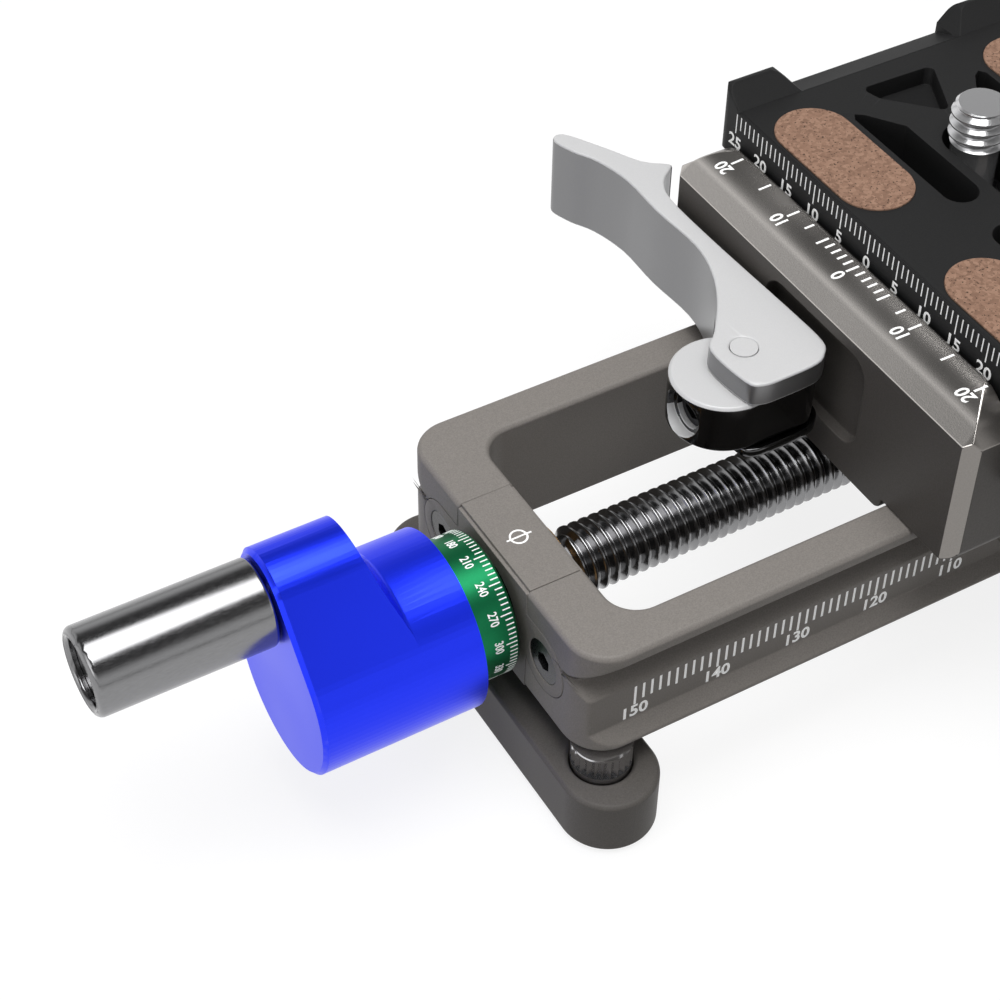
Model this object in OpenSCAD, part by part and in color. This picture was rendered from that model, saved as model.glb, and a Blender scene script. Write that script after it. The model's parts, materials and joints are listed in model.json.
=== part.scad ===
// Macro focusing rail: a lead screw with a cranked knob drives a lever clamp along a dovetail rail.
// The origin is the centre of the rail's bottom face. +X runs along the rail away from the knob,
// +Y runs across it towards the tip of the cam lever, and +Z is up.

/* [Rail] */
// Length of the rail without the knob
rail_length = 163; // [120:1:240]
// Width over the dovetail bands, the common 38 mm clamp size
rail_width = 38.1; // [37.5:0.1:39]
// Height of the rail
rail_height = 14.34; // [13.8:0.02:15]
// Thickness of the bar that closes each end of the opening
end_bar = 6.6; // [6:0.1:9]
// Thickness of each side wall beside the opening
side_wall = 4.6; // [4.4:0.1:5.2]
// Radius of the rail's four upright corners
corner_radius = 4.5; // [3:0.1:6]
// Radius of the four corners of the opening
opening_radius = 3.5; // [2:0.1:5]
// Bevel along the top and bottom edges
edge_bevel = 0.4; // [0.2:0.05:0.6]
// Height of the straight band above the groove
top_band = 1.47; // [1.2:0.01:1.7]
// Height of the straight band below the scale face
bottom_band = 0.84; // [0.7:0.01:1.1]
// How far the scale face lies behind the bands
scale_recess = 1.48; // [1.2:0.01:1.7]
// Height of the scale face
scale_height = 5.2; // [4.8:0.1:5.6]
// Depth of the guide groove behind the bands
groove_depth = 3.38; // [3:0.02:3.6]

/* [Bearing block] */
// Width of the block let into the front bar
block_width = 13.9; // [12:0.1:16]
// Depth of the ears that the two block screws hold
ear_depth = 3.8; // [3.2:0.1:4.4]
// Radius of each ear
ear_radius = 3.9; // [3.6:0.1:4.4]
// Distance from the screw axis to each block screw
ear_reach = 10.3; // [10:0.1:10.8]

/* [Lead screw] */
// Outer diameter of the thread
thread_d = 7.8; // [7:0.1:9]
// Diameter of the smooth ends
journal_d = 6; // [5:0.1:6.4]
// Outer diameter of the two ball bearings
bearing_d = 10; // [9:0.1:11]
// Width of a ball bearing
bearing_w = 3; // [2.5:0.1:3.4]

/* [Knob and crank] */
// Gap between the rail and the dial
dial_gap = 1; // [0.8:0.1:1.6]
// Diameter of the dial
dial_d = 15.6; // [14:0.1:17]
// Length of the dial
dial_length = 5; // [4:0.1:7]
// Diameter of the knob's barrel
knob_d = 19.7; // [18:0.1:21]
// Length of the knob
knob_length = 18.2; // [16:0.1:22]
// Diameter of the knob's crank lobe
lobe_d = 10.7; // [10:0.1:11.5]
// Distance from the screw axis to the handle axis
crank_throw = 10.29; // [9.5:0.01:11]
// Angle of the crank lobe from upright, towards the far side
crank_angle = 14.8; // [0:0.1:30]
// Diameter of the handle
handle_d = 9.3; // [8.4:0.1:10]
// Length of the handle
handle_length = 18.8; // [16:0.1:26]

/* [Clamp] */
// Distance from the rail's centre to the clamp's centre, on the knob's side, as photographed
carriage_back = 18.6; // [6:0.1:28]
// Length of the clamp along the rail
clamp_length = 49.3; // [48:0.1:53]
// Width of the clamp across the rail
clamp_width = 51.86; // [51.4:0.02:56]
// How far the clamp's centre lies off the screw axis, towards the lever's tip
clamp_shift = 1; // [0:0.05:1.2]
// Bevel along the clamp's four upright edges
corner_chamfer = 1.35; // [0.8:0.05:1.6]
// Height of the clamp's upright end faces
end_face_height = 15.5; // [15:0.1:16.5]
// Height of the bevel above an end face
jaw_bevel = 1.45; // [1:0.05:1.6]
// Height of the domed jaw top above the bevel
dome_rise = 2.4; // [2.1:0.05:2.5]
// Thickness of the clamp's floor
floor_height = 8.66; // [8:0.02:9.4]
// Gap between the clamp and the top of the rail
slide_gap = 0.1; // [0.08:0.01:0.2]

/* [Camera plate] */
// Width of the camera plate
plate_width = 38; // [37.8:0.1:38.3]
// Length of the camera plate
plate_length = 56.4; // [56:0.2:66]
// Height of the camera plate
plate_height = 14.34; // [14:0.02:15]
// Width of the two long lightening slots
slot_width = 4.1; // [3.4:0.1:4.2]
// Width of the camera screw's slot
screw_slot_width = 6.9; // [6.8:0.05:7.2]
// Diameter of the camera screw, a quarter inch
camera_screw_d = 6.35; // [6.3:0.01:6.4]
// Height of the camera screw above the plate
camera_screw_reach = 4.9; // [4:0.1:6]
// Width of a cork pad
pad_width = 8.6; // [7:0.1:8.8]
// Length of a cork pad
pad_length = 18.9; // [14:0.1:20]

/* [Cam lever] */
// Height of the clamp bolt above the rail's top
bolt_height = 6.56; // [6.3:0.02:6.6]
// Diameter of the clamp bolt
bolt_d = 3; // [2.6:0.1:3.2]
// Radius of the round end of the lever's trunnion block
trunnion_radius = 5.7; // [5.4:0.1:5.8]
// Height of the trunnion block
trunnion_height = 6.1; // [6:0.05:6.2]
// Thickness of the lever's ear on the trunnion block
ear_thickness = 2.9; // [2.4:0.1:3.6]
// Height of the lever's handle
lever_height = 10.2; // [9.6:0.1:10.6]
// Diameter of the lever's pin
pin_d = 2.9; // [2.6:0.1:3.4]

/* [Feet] */
// Width of a swing-out foot
foot_width = 10.56; // [10:0.02:12]
// Distance between the centres of a foot's round ends
foot_span = 36.3; // [34:0.1:39]
// Height of a foot
foot_height = 7.2; // [6.5:0.1:8]
// Gap between the rail and a foot
foot_gap = 3.36; // [3:0.02:4]
// Diameter of the post that a foot swings on
post_d = 6.5; // [6:0.1:7]
// Number of splines on the post
spline_count = 24; // [18:1:30]

/* [Hidden] */
$fn = 96;

// Shared small sizes
cut = 1;
fit_gap = 0.02;
run_gap = 0.05;
seat_gap = 0.05;
small_bevel = 0.3;
socket_share = 0.6;

// Rail
front_x = -rail_length / 2;
rear_x = rail_length / 2;
rail_half = rail_width / 2;
opening_half = rail_half - side_wall;
opening_end = rail_length / 2 - end_bar;
axis_z = rail_height / 2;
scale_bottom = bottom_band + scale_recess;
scale_top = scale_bottom + scale_height;
groove_floor = 0.35;
groove_top = rail_height - top_band - groove_depth;
waist_radius = 2;

// Bearing block
block_screw_d = 2.5;
block_screw_end = 6.2;
block_head_d = 5;
block_head = 2.6;
block_socket = 2;
ear_fall = 0.3;

// Lead screw and bearings
journal_r = journal_d / 2;
bearing_r = bearing_d / 2;
washer_w = 0.8;
screw_front = -opening_end + washer_w;
rear_bearing_x = rear_x - end_bar + 1.2;

// Knob
dial_front = front_x - dial_gap;
knob_rear = dial_front - dial_length;
knob_front = knob_rear - knob_length;
knob_r = knob_d / 2;
lobe_r = lobe_d / 2;
lobe_reach = crank_throw + lobe_r;
shoulder_start = 6.45;
shoulder_drop = 3;
shaft_depth = 13;
set_screw_back = 4;
handle_gap = 0.15;
handle_front = knob_front - handle_gap - handle_length;
handle_y = crank_throw * sin(crank_angle);
handle_z = axis_z + crank_throw * cos(crank_angle);
shoulder_d = 5;
shoulder_thread_d = 4;
shoulder_thread_length = 8;
handle_recess_d = 7;
handle_recess = 3.4;
shoulder_head_d = 6.4;
shoulder_head = 2.4;

// Clamp
clamp_x = -carriage_back;
clamp_half = clamp_length / 2;
clamp_front = clamp_x - clamp_half;
clamp_rear = clamp_x + clamp_half;
clamp_bottom = rail_height + slide_gap;
end_top = clamp_bottom + end_face_height;
bevel_top = end_top + jaw_bevel;
jaw_top = bevel_top + dome_rise;
floor_z = clamp_bottom + floor_height;
bottom_round = 1.5;
dome_steps = 10;
tongue_depth = 1.6;
tongue_gap = 0.45;
tongue_length = 6;
plate_half = plate_width / 2;
jaw_side_gap = 0.2;
jaw_inner = clamp_half - plate_half - jaw_side_gap;
lip_back = 0.3;
dome_run = jaw_inner - lip_back - jaw_bevel;
lip_reach = 3;
flank_gap = 0.07;
undercut_gap = 0.4;
far_jaw_front = clamp_x + plate_half + jaw_side_gap;
jaw_split_gap = 0.3;
guide_pin_length = 16;
guide_pin_start = far_jaw_front - jaw_split_gap - guide_pin_length / 2 - cut;
pocket_width = 17.3;
pocket_z = rail_height + 2.6;
pocket_height = 11.6;
pocket_depth = 1.3;
pocket_radius = 2.5;
guide_pin_d = 3;
guide_pin_spread = 17;
guide_pin_rise = 5.3;
guide_pin_z = rail_height + guide_pin_rise;
bolt_y = 1.2;
bolt_z = rail_height + bolt_height;

// Guides and nut under the clamp
gib_length = 25.8;
gib_side_gap = 0.3;
gib_outer = clamp_width / 2 - clamp_shift - small_bevel;
gib_bottom = scale_top + 0.45;
ridge_gap = 0.1;
ridge_tip_gap = 0.55;
gib_screw_spread = 8;
gib_screw_d = 2.5;
gib_head_d = 4.5;
gib_head = 2.5;
gib_socket = 2;
gib_thread = 5;
head_recess = 0.2;
m3_d = 3;
m3_head_d = 5.5;
m3_head = 3;
m3_socket = 2.5;
gib_screw_y = (rail_half + gib_side_gap + gib_outer) / 2;
nut_block_length = 20;
nut_block_half = opening_half - tongue_gap;
nut_block_bottom = 0.6;
nut_d = 11.2;
nut_flange_d = 12;
nut_flange = 2;
nut_length = nut_block_length + nut_flange;
nut_screw_x = 6.5;
nut_screw_y = 10.4;
nut_screw_thread = 4;
set_screw_d = 3;

// Camera plate
plate_bottom = floor_z + run_gap + seat_gap;
plate_top = plate_bottom + plate_height;
flange_height = 1.4;
neck_inset = 3.2;
neck_height = 0.6;
undercut_bottom = plate_bottom + flange_height + neck_inset + neck_height;
plate_corner = 2;
plate_far = 27;
plate_middle = plate_far - plate_length / 2;
pattern_y = -3.05;
slot_offset = 6.85;
slot_near = 2.25;
slot_far = 20.3;
slot_taper = 4.4;
screw_slot_half = 13.8;
camera_screw_y = 7.13;
channel_half = 7.5;
channel_end = 18;
channel_depth = 8.5;
channel_top = plate_bottom + channel_depth;
horn_width = 6.3;
horn_foot = 2.2;
horn_rise = 2;
horn_start = 23.5;
horn_back = 0.3;
horn_round = 1.2;
horn_slope = 2.6;
edge_fall = 1.95;
pocket_floor = 2.2;
pocket_points = [[-4, 23.05], [-3.6, 21.65], [0.8, 17.05], [3.5, 22.85]];
pocket_round = 0.7;
pad_offset_x = 14.05;
pad_offset_y = 14.5;
pad_sink = 0.8;
pad_proud = 0.15;
collar_half = 6.8;
collar_height = 1.4;
camera_head_d = 12;
camera_head = 2.8;
screw_neck_d = 5.2;
screw_neck_gap = 0.1;
camera_socket = 5;

// Cam lever
pin_inset = 8.05;
pin_x = clamp_front - pin_inset;
pin_y = 1.13;
trunnion_bottom = rail_height + 4;
trunnion_top = trunnion_bottom + trunnion_height;
trunnion_mid = (trunnion_bottom + trunnion_top) / 2;
trunnion_back = 1.35;
tail_far = 2;
tail_corner = 2;
trunnion_x = pin_x - 1.9;
trunnion_y = pin_y + 0.45;
trunnion_bevel = 0.3;
trunnion_recess_r = 2.6;
trunnion_recess = 1.3;
ear_bottom = trunnion_top + run_gap;
lever_top = ear_bottom + ear_thickness;
lever_bottom = lever_top - lever_height;
lever_swing_gap = 7.85;
curve_steps = 4;
trunnion_front = trunnion_x - trunnion_radius;
trunnion_screw_d = 4;
trunnion_screw_length = 4.2;
trunnion_socket = 2.4;
jaw_travel = 1.2;
bolt_end_gap = 0.4;
bolt_gap = 0.25;
collar_r = 2.3;
collar_gap = 0.1;

// Feet
foot_r = foot_width / 2;
foot_x = rail_length / 2 - 3.5;
foot_y = rail_half - 2.4;
foot_top = -foot_gap;
foot_bottom = foot_top - foot_height;
foot_bevel = 0.35;
post_r = post_d / 2;
post_seat_depth = 5;
post_stub_d = 2.4;
post_stub_x = 1;
post_stub_y = 0.75;
foot_screw_d = 3;
foot_screw_length = 4.8;
foot_socket = 2;
foot_start = foot_r + 1.5;
foot_hole_gap = 0.09;
hole_bevel = 0.4;
spline_depth = 0.35;
spline_end = 0.4;
foot_head_d = 8.4;
foot_head = 1.8;
foot_head_sink = 2.4;
foot_pad_inset = 1.6;
foot_pad_sink = 0.8;
foot_pad_proud = 0.4;
foot_pad_start = 6;
foot_pad_length = foot_span - foot_pad_start;
foot_pad_middle = foot_pad_start + foot_pad_length / 2 + 1;

// Colours
body_grey = [0.42, 0.4, 0.38];
steel = [0.72, 0.72, 0.73];
dark_steel = [0.3, 0.3, 0.31];
plate_black = [0.12, 0.12, 0.12];

// A cylinder along X from one place to another
module x_bar(r, from, to) {
    translate([from, 0, 0]) rotate([0, 90, 0]) cylinder(h = to - from, r = r);
}

// A cylinder along Z from one height to another
module z_bar(r, from, to) {
    translate([0, 0, from]) cylinder(h = to - from, r = r);
}

// A ring along X
module x_ring(outer, inner, from, to) {
    difference() {
        x_bar(outer, from, to);
        x_bar(inner, from - cut, to + cut);
    }
}

// A hexagon along X, for sockets
module x_hex(across, from, to) {
    translate([from, 0, 0]) rotate([0, 90, 0]) cylinder(h = to - from, r = across / 2 / cos(30), $fn = 6);
}

// A block with round upright corners. Each profile point is [outward shift, height].
module round_block(length, width, r, profile) {
    function mirrored(half) = concat([for (p = profile) [half + p[0], p[1]]],
        [for (i = [len(profile) - 1:-1:0]) [-half - profile[i][0], profile[i][1]]]);
    rotate([90, 0, 90]) linear_extrude(length - 2 * r, center = true) polygon(mirrored(width / 2));
    if (width > 2 * r)
        rotate([90, 0, 0]) linear_extrude(width - 2 * r, center = true) polygon(mirrored(length / 2));
    for (sx = [-1, 1], sy = [-1, 1])
        translate([sx * (length / 2 - r), sy * (width / 2 - r), 0])
            rotate_extrude() polygon(concat([[0, profile[0][1]]], [for (p = profile) [r + p[0], p[1]]],
                [[0, profile[len(profile) - 1][1]]]));
}

function bevelled(bottom, top, bevel) =
    [[-bevel, bottom], [0, bottom + bevel], [0, top - bevel], [-bevel, top]];

// A cap screw along Z with its head below: the head's seat is at zero and the shank points up
module cap_screw_up(d, head_d, head, length, socket) {
    difference() {
        union() {
            z_bar(head_d / 2, -head, 0);
            z_bar(d / 2, -head / 2, length);
        }
        translate([0, 0, -head - cut]) cylinder(h = cut + head * socket_share, r = socket / 2 / cos(30), $fn = 6);
    }
}

// The guide groove's outline beside the rail's near and far bands
module groove_outline() {
    out = rail_half + cut;
    deep = rail_half - groove_depth;
    face = rail_half - scale_recess;
    polygon([[-out, bottom_band], [-rail_half, bottom_band], [-face, scale_bottom], [-face, scale_top],
        [-deep, groove_top - groove_floor], [-deep, groove_top], [-rail_half, rail_height - top_band],
        [-out, rail_height - top_band]]);
}

// What carries the groove round one corner, where it runs out at the end face
module waist_corner() {
    deep = waist_radius;
    band = deep + groove_depth;
    face = band - scale_recess;
    out = band + cut;
    translate([front_x + deep, deep + groove_depth - rail_half, 0]) intersection() {
        rotate_extrude() polygon([[deep, groove_top - groove_floor], [deep, groove_top],
            [band, rail_height - top_band], [out, rail_height - top_band], [out, bottom_band],
            [band, bottom_band], [face, scale_bottom], [face, scale_top]]);
        translate([-out, -out, 0]) cube([out, out, rail_height]);
    }
}

// The bearing block's ears and body seen from the knob, for the block and for its pocket
module ears(depth, grow) {
    for (s = [-1, 1]) {
        translate([front_x - cut, s * ear_reach, axis_z]) x_bar(ear_radius + grow, 0, depth + cut);
        translate([front_x - cut, s > 0 ? 0 : -ear_reach, axis_z - ear_radius * ear_fall])
            cube([depth + cut, ear_reach, ear_radius * (1 + ear_fall) + grow]);
    }
}

module rail_frame() {
    color(body_grey) difference() {
        round_block(rail_length, rail_width, corner_radius, bevelled(0, rail_height, edge_bevel));
        for (s = [0, 180]) rotate([0, 0, s]) {
            rotate([90, 0, 90]) linear_extrude(rail_length - 2 * waist_radius, center = true)
                groove_outline();
            waist_corner();
            mirror([1, 0, 0]) waist_corner();
        }
        translate([0, 0, -cut]) round_block(2 * opening_end, 2 * opening_half, opening_radius,
            [[0, 0], [0, rail_height + cut - edge_bevel], [edge_bevel + cut, rail_height + 2 * cut]]);
        translate([front_x - cut, -block_width / 2 - fit_gap, -cut])
            cube([end_bar + 2 * cut, block_width + 2 * fit_gap, rail_height + 2 * cut]);
        ears(ear_depth + fit_gap, fit_gap);
        for (s = [-1, 1]) translate([0, s * ear_reach, axis_z])
            x_bar(block_screw_d / 2 + fit_gap, front_x, front_x + block_screw_end + fit_gap);
        translate([0, 0, axis_z]) {
            x_bar(journal_r + 0.5, opening_end - cut, rear_x);
            x_bar(bearing_r + fit_gap, rear_bearing_x, rear_x + cut);
        }
        for (s = [-1, 1]) translate([s * (foot_x - post_stub_x), s * (foot_y - post_stub_y), 0])
            z_bar(post_stub_d / 2 + fit_gap, -cut, post_seat_depth + fit_gap);
    }
}

module front_bearing_block() {
    inner = front_x + end_bar;
    color(body_grey) difference() {
        union() {
            translate([front_x, -block_width / 2, 0]) cube([end_bar, block_width, rail_height - edge_bevel]);
            translate([front_x + edge_bevel, -block_width / 2, 0])
                cube([end_bar - 2 * edge_bevel, block_width, rail_height]);
            intersection() {
                ears(ear_depth, 0);
                translate([front_x, -rail_half, 0]) cube([ear_depth, rail_width, rail_height]);
            }
        }
        for (s = [-1, 1]) translate([0, s * ear_reach, axis_z]) {
            x_bar(block_head_d / 2 + run_gap, front_x - cut, front_x + block_head);
            x_bar(block_screw_d / 2 + fit_gap, front_x, inner);
        }
        translate([0, 0, axis_z]) {
            x_bar(bearing_r + fit_gap, front_x - cut, front_x + bearing_w + 0.6);
            x_bar(journal_r + 0.5, front_x, inner + cut);
        }
    }
}

module block_screws() {
    color(dark_steel) for (s = [-1, 1]) translate([0, s * ear_reach, axis_z]) difference() {
        union() {
            x_bar(block_head_d / 2, front_x + 0.1, front_x + block_head);
            x_bar(block_screw_d / 2, front_x + block_head / 2, front_x + block_screw_end);
        }
        x_hex(block_socket, front_x - cut, front_x + block_head * socket_share);
    }
}

// A ball bearing drawn as one ring with the shallow grooves between its races
module bearing(from) {
    groove = 0.4;
    mid = (bearing_r + journal_r) / 2;
    color(steel) translate([0, 0, axis_z]) difference() {
        x_ring(bearing_r, journal_r + 0.03, from, from + bearing_w);
        x_ring(mid + groove, mid - groove, from - cut, from + small_bevel);
        x_ring(mid + groove, mid - groove, from + bearing_w - small_bevel, from + bearing_w + cut);
    }
}

module front_bearing() {
    bearing(front_x + 0.6);
}

module rear_bearing() {
    bearing(rear_bearing_x);
}

module rear_end_cap() {
    from = rear_bearing_x + bearing_w + seat_gap;
    color(dark_steel) translate([0, 0, axis_z]) difference() {
        x_bar(bearing_r, from, rear_x - 0.2);
        x_hex(3, rear_x - 1.2, rear_x + cut);
    }
}

module lead_screw() {
    neck = 0.6;
    color(steel) translate([0, 0, axis_z]) {
        x_bar(journal_r, knob_rear - shaft_depth, screw_front + neck);
        x_bar(thread_d / 2 - neck, screw_front, screw_front + 2 * neck);
        x_bar(thread_d / 2, screw_front + 2 * neck, opening_end - 2 * neck);
        x_bar(thread_d / 2 - neck, opening_end - 2 * neck - cut, opening_end - seat_gap);
        x_bar(journal_r, opening_end - neck, rear_bearing_x + bearing_w);
    }
}

module thrust_washer() {
    color(steel) translate([0, 0, axis_z])
        x_ring(bearing_r + 0.4, journal_r + fit_gap, -opening_end + run_gap, screw_front - fit_gap);
}

module shaft_spacer() {
    color(dark_steel) translate([0, 0, axis_z])
        x_ring(journal_r + 1, journal_r + fit_gap, dial_front, front_x + 0.6 - fit_gap);
}

module dial_ring() {
    bevel = small_bevel;
    r = dial_d / 2;
    color([0.02, 0.36, 0.17]) translate([dial_front, 0, axis_z]) rotate([0, -90, 0]) rotate_extrude()
        polygon([[journal_r + fit_gap, 0], [r - bevel, 0], [r, bevel], [r, dial_length],
            [journal_r + fit_gap, dial_length]]);
}

// The knob's outline seen along the screw axis: a circle and the crank lobe, joined by tangents
module teardrop(grow) {
    lean = acos((knob_r - lobe_r) / crank_throw);
    big = knob_r + grow;
    small = lobe_r + grow;
    circle(r = big);
    translate([crank_throw, 0]) circle(r = small);
    polygon([[big * cos(lean), big * sin(lean)], [crank_throw + small * cos(lean), small * sin(lean)],
        [crank_throw + small * cos(lean), -small * sin(lean)], [big * cos(lean), -big * sin(lean)]]);
}

function bend(a, b, c, t) = (1 - t) * (1 - t) * a + 2 * t * (1 - t) * b + t * t * c;

// The turned shape that the knob's outline is cut from: its rail side falls away to the lobe
module knob_turning() {
    steps = 8;
    outer = lobe_reach + cut;
    rim = knob_rear - shoulder_start;
    fall = [for (i = [0:steps]) bend([knob_r, rim], [knob_r + 0.8, rim - 0.6 * shoulder_drop],
        [outer, rim - shoulder_drop], i / steps)];
    translate([0, 0, axis_z]) rotate([0, 90, 0]) rotate_extrude()
        polygon(concat([[0, knob_front], [0, knob_rear], [knob_r, knob_rear]], fall, [[outer, knob_front]]));
}

module crank_knob() {
    bevel = 0.45;
    color([0.1, 0.2, 0.95]) difference() {
        intersection() {
            knob_turning();
            translate([knob_front, 0, axis_z]) rotate([90, 0, 90]) rotate([0, 0, 90 - crank_angle]) {
                translate([0, 0, bevel]) linear_extrude(knob_length - bevel) teardrop(0);
                hull() {
                    linear_extrude(fit_gap) teardrop(-bevel);
                    translate([0, 0, bevel]) linear_extrude(fit_gap) teardrop(-fit_gap);
                }
            }
        }
        translate([0, 0, axis_z]) x_bar(journal_r + fit_gap, knob_rear - shaft_depth - fit_gap, knob_rear + cut);
        translate([0, handle_y, handle_z])
            x_bar(shoulder_thread_d / 2 + fit_gap, knob_front - cut, knob_front + shoulder_thread_length + 0.2);
        translate([knob_rear - set_screw_back, 0, axis_z]) rotate([-crank_angle, 0, 0])
            z_bar(set_screw_d / 2 + fit_gap, -knob_r - cut, 0);
    }
}

module knob_set_screw() {
    color(dark_steel) translate([knob_rear - set_screw_back, 0, axis_z]) rotate([-crank_angle, 0, 0]) difference() {
        z_bar(set_screw_d / 2, -knob_r + 0.8, -journal_r - fit_gap);
        translate([0, 0, -knob_r]) cylinder(h = 2.4, r = 0.85, $fn = 6);
    }
}

module handle_grip() {
    r = handle_d / 2;
    round_r = 0.75;
    inner = shoulder_d / 2 + run_gap;
    recess_r = handle_recess_d / 2;
    color(steel) translate([handle_front, handle_y, handle_z]) rotate([0, 90, 0]) rotate_extrude()
        polygon(concat([[inner, handle_recess], [recess_r, handle_recess], [recess_r, small_bevel],
            [recess_r + small_bevel, 0]],
            [for (a = [0:15:90]) [r - round_r + round_r * sin(a), round_r - round_r * cos(a)]],
            [[r, handle_length - small_bevel], [r - small_bevel, handle_length], [inner, handle_length]]));
}

module handle_shoulder_screw() {
    seat = handle_front + handle_recess - run_gap;
    color(dark_steel) translate([0, handle_y, handle_z]) difference() {
        union() {
            x_bar(shoulder_head_d / 2, seat - shoulder_head, seat);
            x_bar(shoulder_d / 2, seat - shoulder_head / 2, knob_front);
            x_bar(shoulder_thread_d / 2, knob_front - cut, knob_front + shoulder_thread_length);
        }
        x_hex(3, seat - shoulder_head - cut, seat - shoulder_head * 0.4);
    }
}

// The edge of a jaw as [distance in from the end face, height]: bevel, then a round dome
function edge_curve() = concat([[0, end_top], [jaw_bevel, bevel_top]],
    [for (i = [1:dome_steps]) bend([jaw_bevel, bevel_top],
        [jaw_bevel + dome_run * 0.42, bevel_top + dome_rise * 0.85], [jaw_bevel + dome_run, jaw_top],
        i / dome_steps)]);

// The side of a clamp jaw seen across the rail, measured in from its end face
function jaw_lip(inner) = [
    [inner - lip_back, jaw_top],
    [inner - lip_back, undercut_bottom + neck_inset - undercut_gap + slide_gap],
    [inner + lip_reach, undercut_bottom - undercut_gap],
    [inner + lip_reach, plate_bottom + flange_height + lip_reach + jaw_side_gap + flank_gap],
    [inner, plate_bottom + flange_height - jaw_side_gap + flank_gap], [inner, floor_z]];

// The clamp's outline seen from above, for a jaw at the left
module clamp_plan(length) {
    half = clamp_width / 2;
    edge = [[0, half - corner_chamfer], [corner_chamfer, half], [length, half]];
    polygon(concat(edge, [for (i = [len(edge) - 1:-1:0]) [edge[i][0], -edge[i][1]]]));
}

// The clamp seen along the rail: its sides carry the same bevel and dome as its ends
module clamp_end(base) {
    half = clamp_width / 2;
    r = bottom_round;
    side = concat([for (a = [0:15:90]) [half - r + r * sin(a), base + r - r * cos(a)]],
        [for (p = edge_curve()) [half - p[0], p[1]]]);
    polygon(concat(side, [for (i = [len(side) - 1:-1:0]) [-side[i][0], side[i][1]]]));
}

// A jaw with its end face at zero, cut to the plan and to both side views
module jaw_block(length, profile, base) {
    translate([0, clamp_shift, 0]) intersection() {
        translate([0, 0, base - cut]) linear_extrude(jaw_top) clamp_plan(length);
        rotate([90, 0, 0]) linear_extrude(clamp_width + 2 * cut, center = true) polygon(profile);
        rotate([90, 0, 90]) linear_extrude(length + cut) clamp_end(base);
    }
}

module clamp_body() {
    inner = jaw_inner;
    length = far_jaw_front - jaw_split_gap - clamp_front;
    tongue_half = opening_half - tongue_gap;
    color(body_grey) difference() {
        translate([clamp_front, 0, 0]) union() {
            jaw_block(length, concat([[0, clamp_bottom]], edge_curve(), jaw_lip(inner),
                [[length, floor_z], [length, clamp_bottom]]), clamp_bottom);
            translate([tongue_length / 2, 0, 0]) rotate([0, 0, 90])
                round_tongue(2 * tongue_half, tongue_length);
        }
        translate([clamp_front - cut, 0, pocket_z]) rotate([90, 0, 90]) linear_extrude(cut + pocket_depth)
            pocket_outline();
        translate([0, bolt_y, bolt_z]) {
            x_bar(bolt_d / 2 + bolt_gap, clamp_front - cut, clamp_rear);
            x_bar(collar_r + collar_gap, clamp_front - cut, clamp_front + pocket_depth);
        }
        for (s = [-1, 1]) translate([0, s * guide_pin_spread, guide_pin_z])
            x_bar(guide_pin_d / 2 + fit_gap, guide_pin_start, clamp_rear);
        for (sx = [-1, 1], sy = [-1, 1]) {
            translate([clamp_x + sx * gib_screw_spread, sy * gib_screw_y, 0])
                z_bar(gib_screw_d / 2 + fit_gap, clamp_bottom - cut, clamp_bottom + gib_thread + fit_gap);
            translate([clamp_x + sx * nut_screw_x, sy * nut_screw_y, 0])
                z_bar(m3_d / 2 + fit_gap, clamp_bottom - cut, clamp_bottom + nut_screw_thread + fit_gap);
        }
    }
}

// The low tongue that guides the clamp between the walls of the opening
module round_tongue(width, length) {
    r = 1.2;
    rotate([90, 0, 0]) linear_extrude(length, center = true) polygon(concat(
        [for (a = [0:15:90]) [width / 2 - r + r * sin(a), clamp_bottom - tongue_depth + r - r * cos(a)]],
        [[width / 2, clamp_bottom + cut], [-width / 2, clamp_bottom + cut]],
        [for (a = [90:-15:0]) [-width / 2 + r - r * sin(a), clamp_bottom - tongue_depth + r - r * cos(a)]]));
}

// The relief in the end face that the lever's heel swings through
module pocket_outline() {
    for (s = [-1, 1], t = [0, 1])
        translate([s * (pocket_width / 2 - pocket_radius), pocket_radius + t * (pocket_height - 2 * pocket_radius)])
            circle(r = pocket_radius);
    translate([-pocket_width / 2, pocket_radius]) square([pocket_width, pocket_height - 2 * pocket_radius]);
    translate([-pocket_width / 2 + pocket_radius, 0]) square([pocket_width - 2 * pocket_radius, pocket_height]);
}

// A guide bar whose ridge runs in the rail's groove; the far one is drawn and the near one turned
module gib() {
    inner = rail_half + gib_side_gap;
    tip = rail_half - groove_depth + ridge_tip_gap;
    slant = rail_height - top_band - rail_half - ridge_gap * sqrt(2);
    difference() {
        translate([clamp_x, 0, 0]) rotate([90, 0, 90]) linear_extrude(gib_length, center = true)
            polygon([[gib_outer - small_bevel, gib_bottom], [gib_outer, gib_bottom + small_bevel],
                [gib_outer, clamp_bottom], [inner, clamp_bottom], [inner, inner + slant], [tip, tip + slant],
                [tip, tip + slant - groove_floor], [inner, gib_bottom]]);
        for (s = [-1, 1]) translate([clamp_x + s * gib_screw_spread, gib_screw_y, 0]) {
            z_bar(gib_head_d / 2 + run_gap, gib_bottom - cut, gib_bottom + gib_head + head_recess);
            z_bar(gib_screw_d / 2 + fit_gap, gib_bottom, clamp_bottom + cut);
        }
    }
}

module far_gib() {
    color(body_grey) gib();
}

module near_gib() {
    color(body_grey) mirror([0, 1, 0]) gib();
}

module gib_screws() {
    seat = gib_bottom + gib_head + head_recess;
    color(dark_steel) for (sx = [-1, 1], sy = [-1, 1])
        translate([clamp_x + sx * gib_screw_spread, sy * gib_screw_y, seat])
            cap_screw_up(gib_screw_d, gib_head_d, gib_head, clamp_bottom + gib_thread - seat, gib_socket);
}

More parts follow.
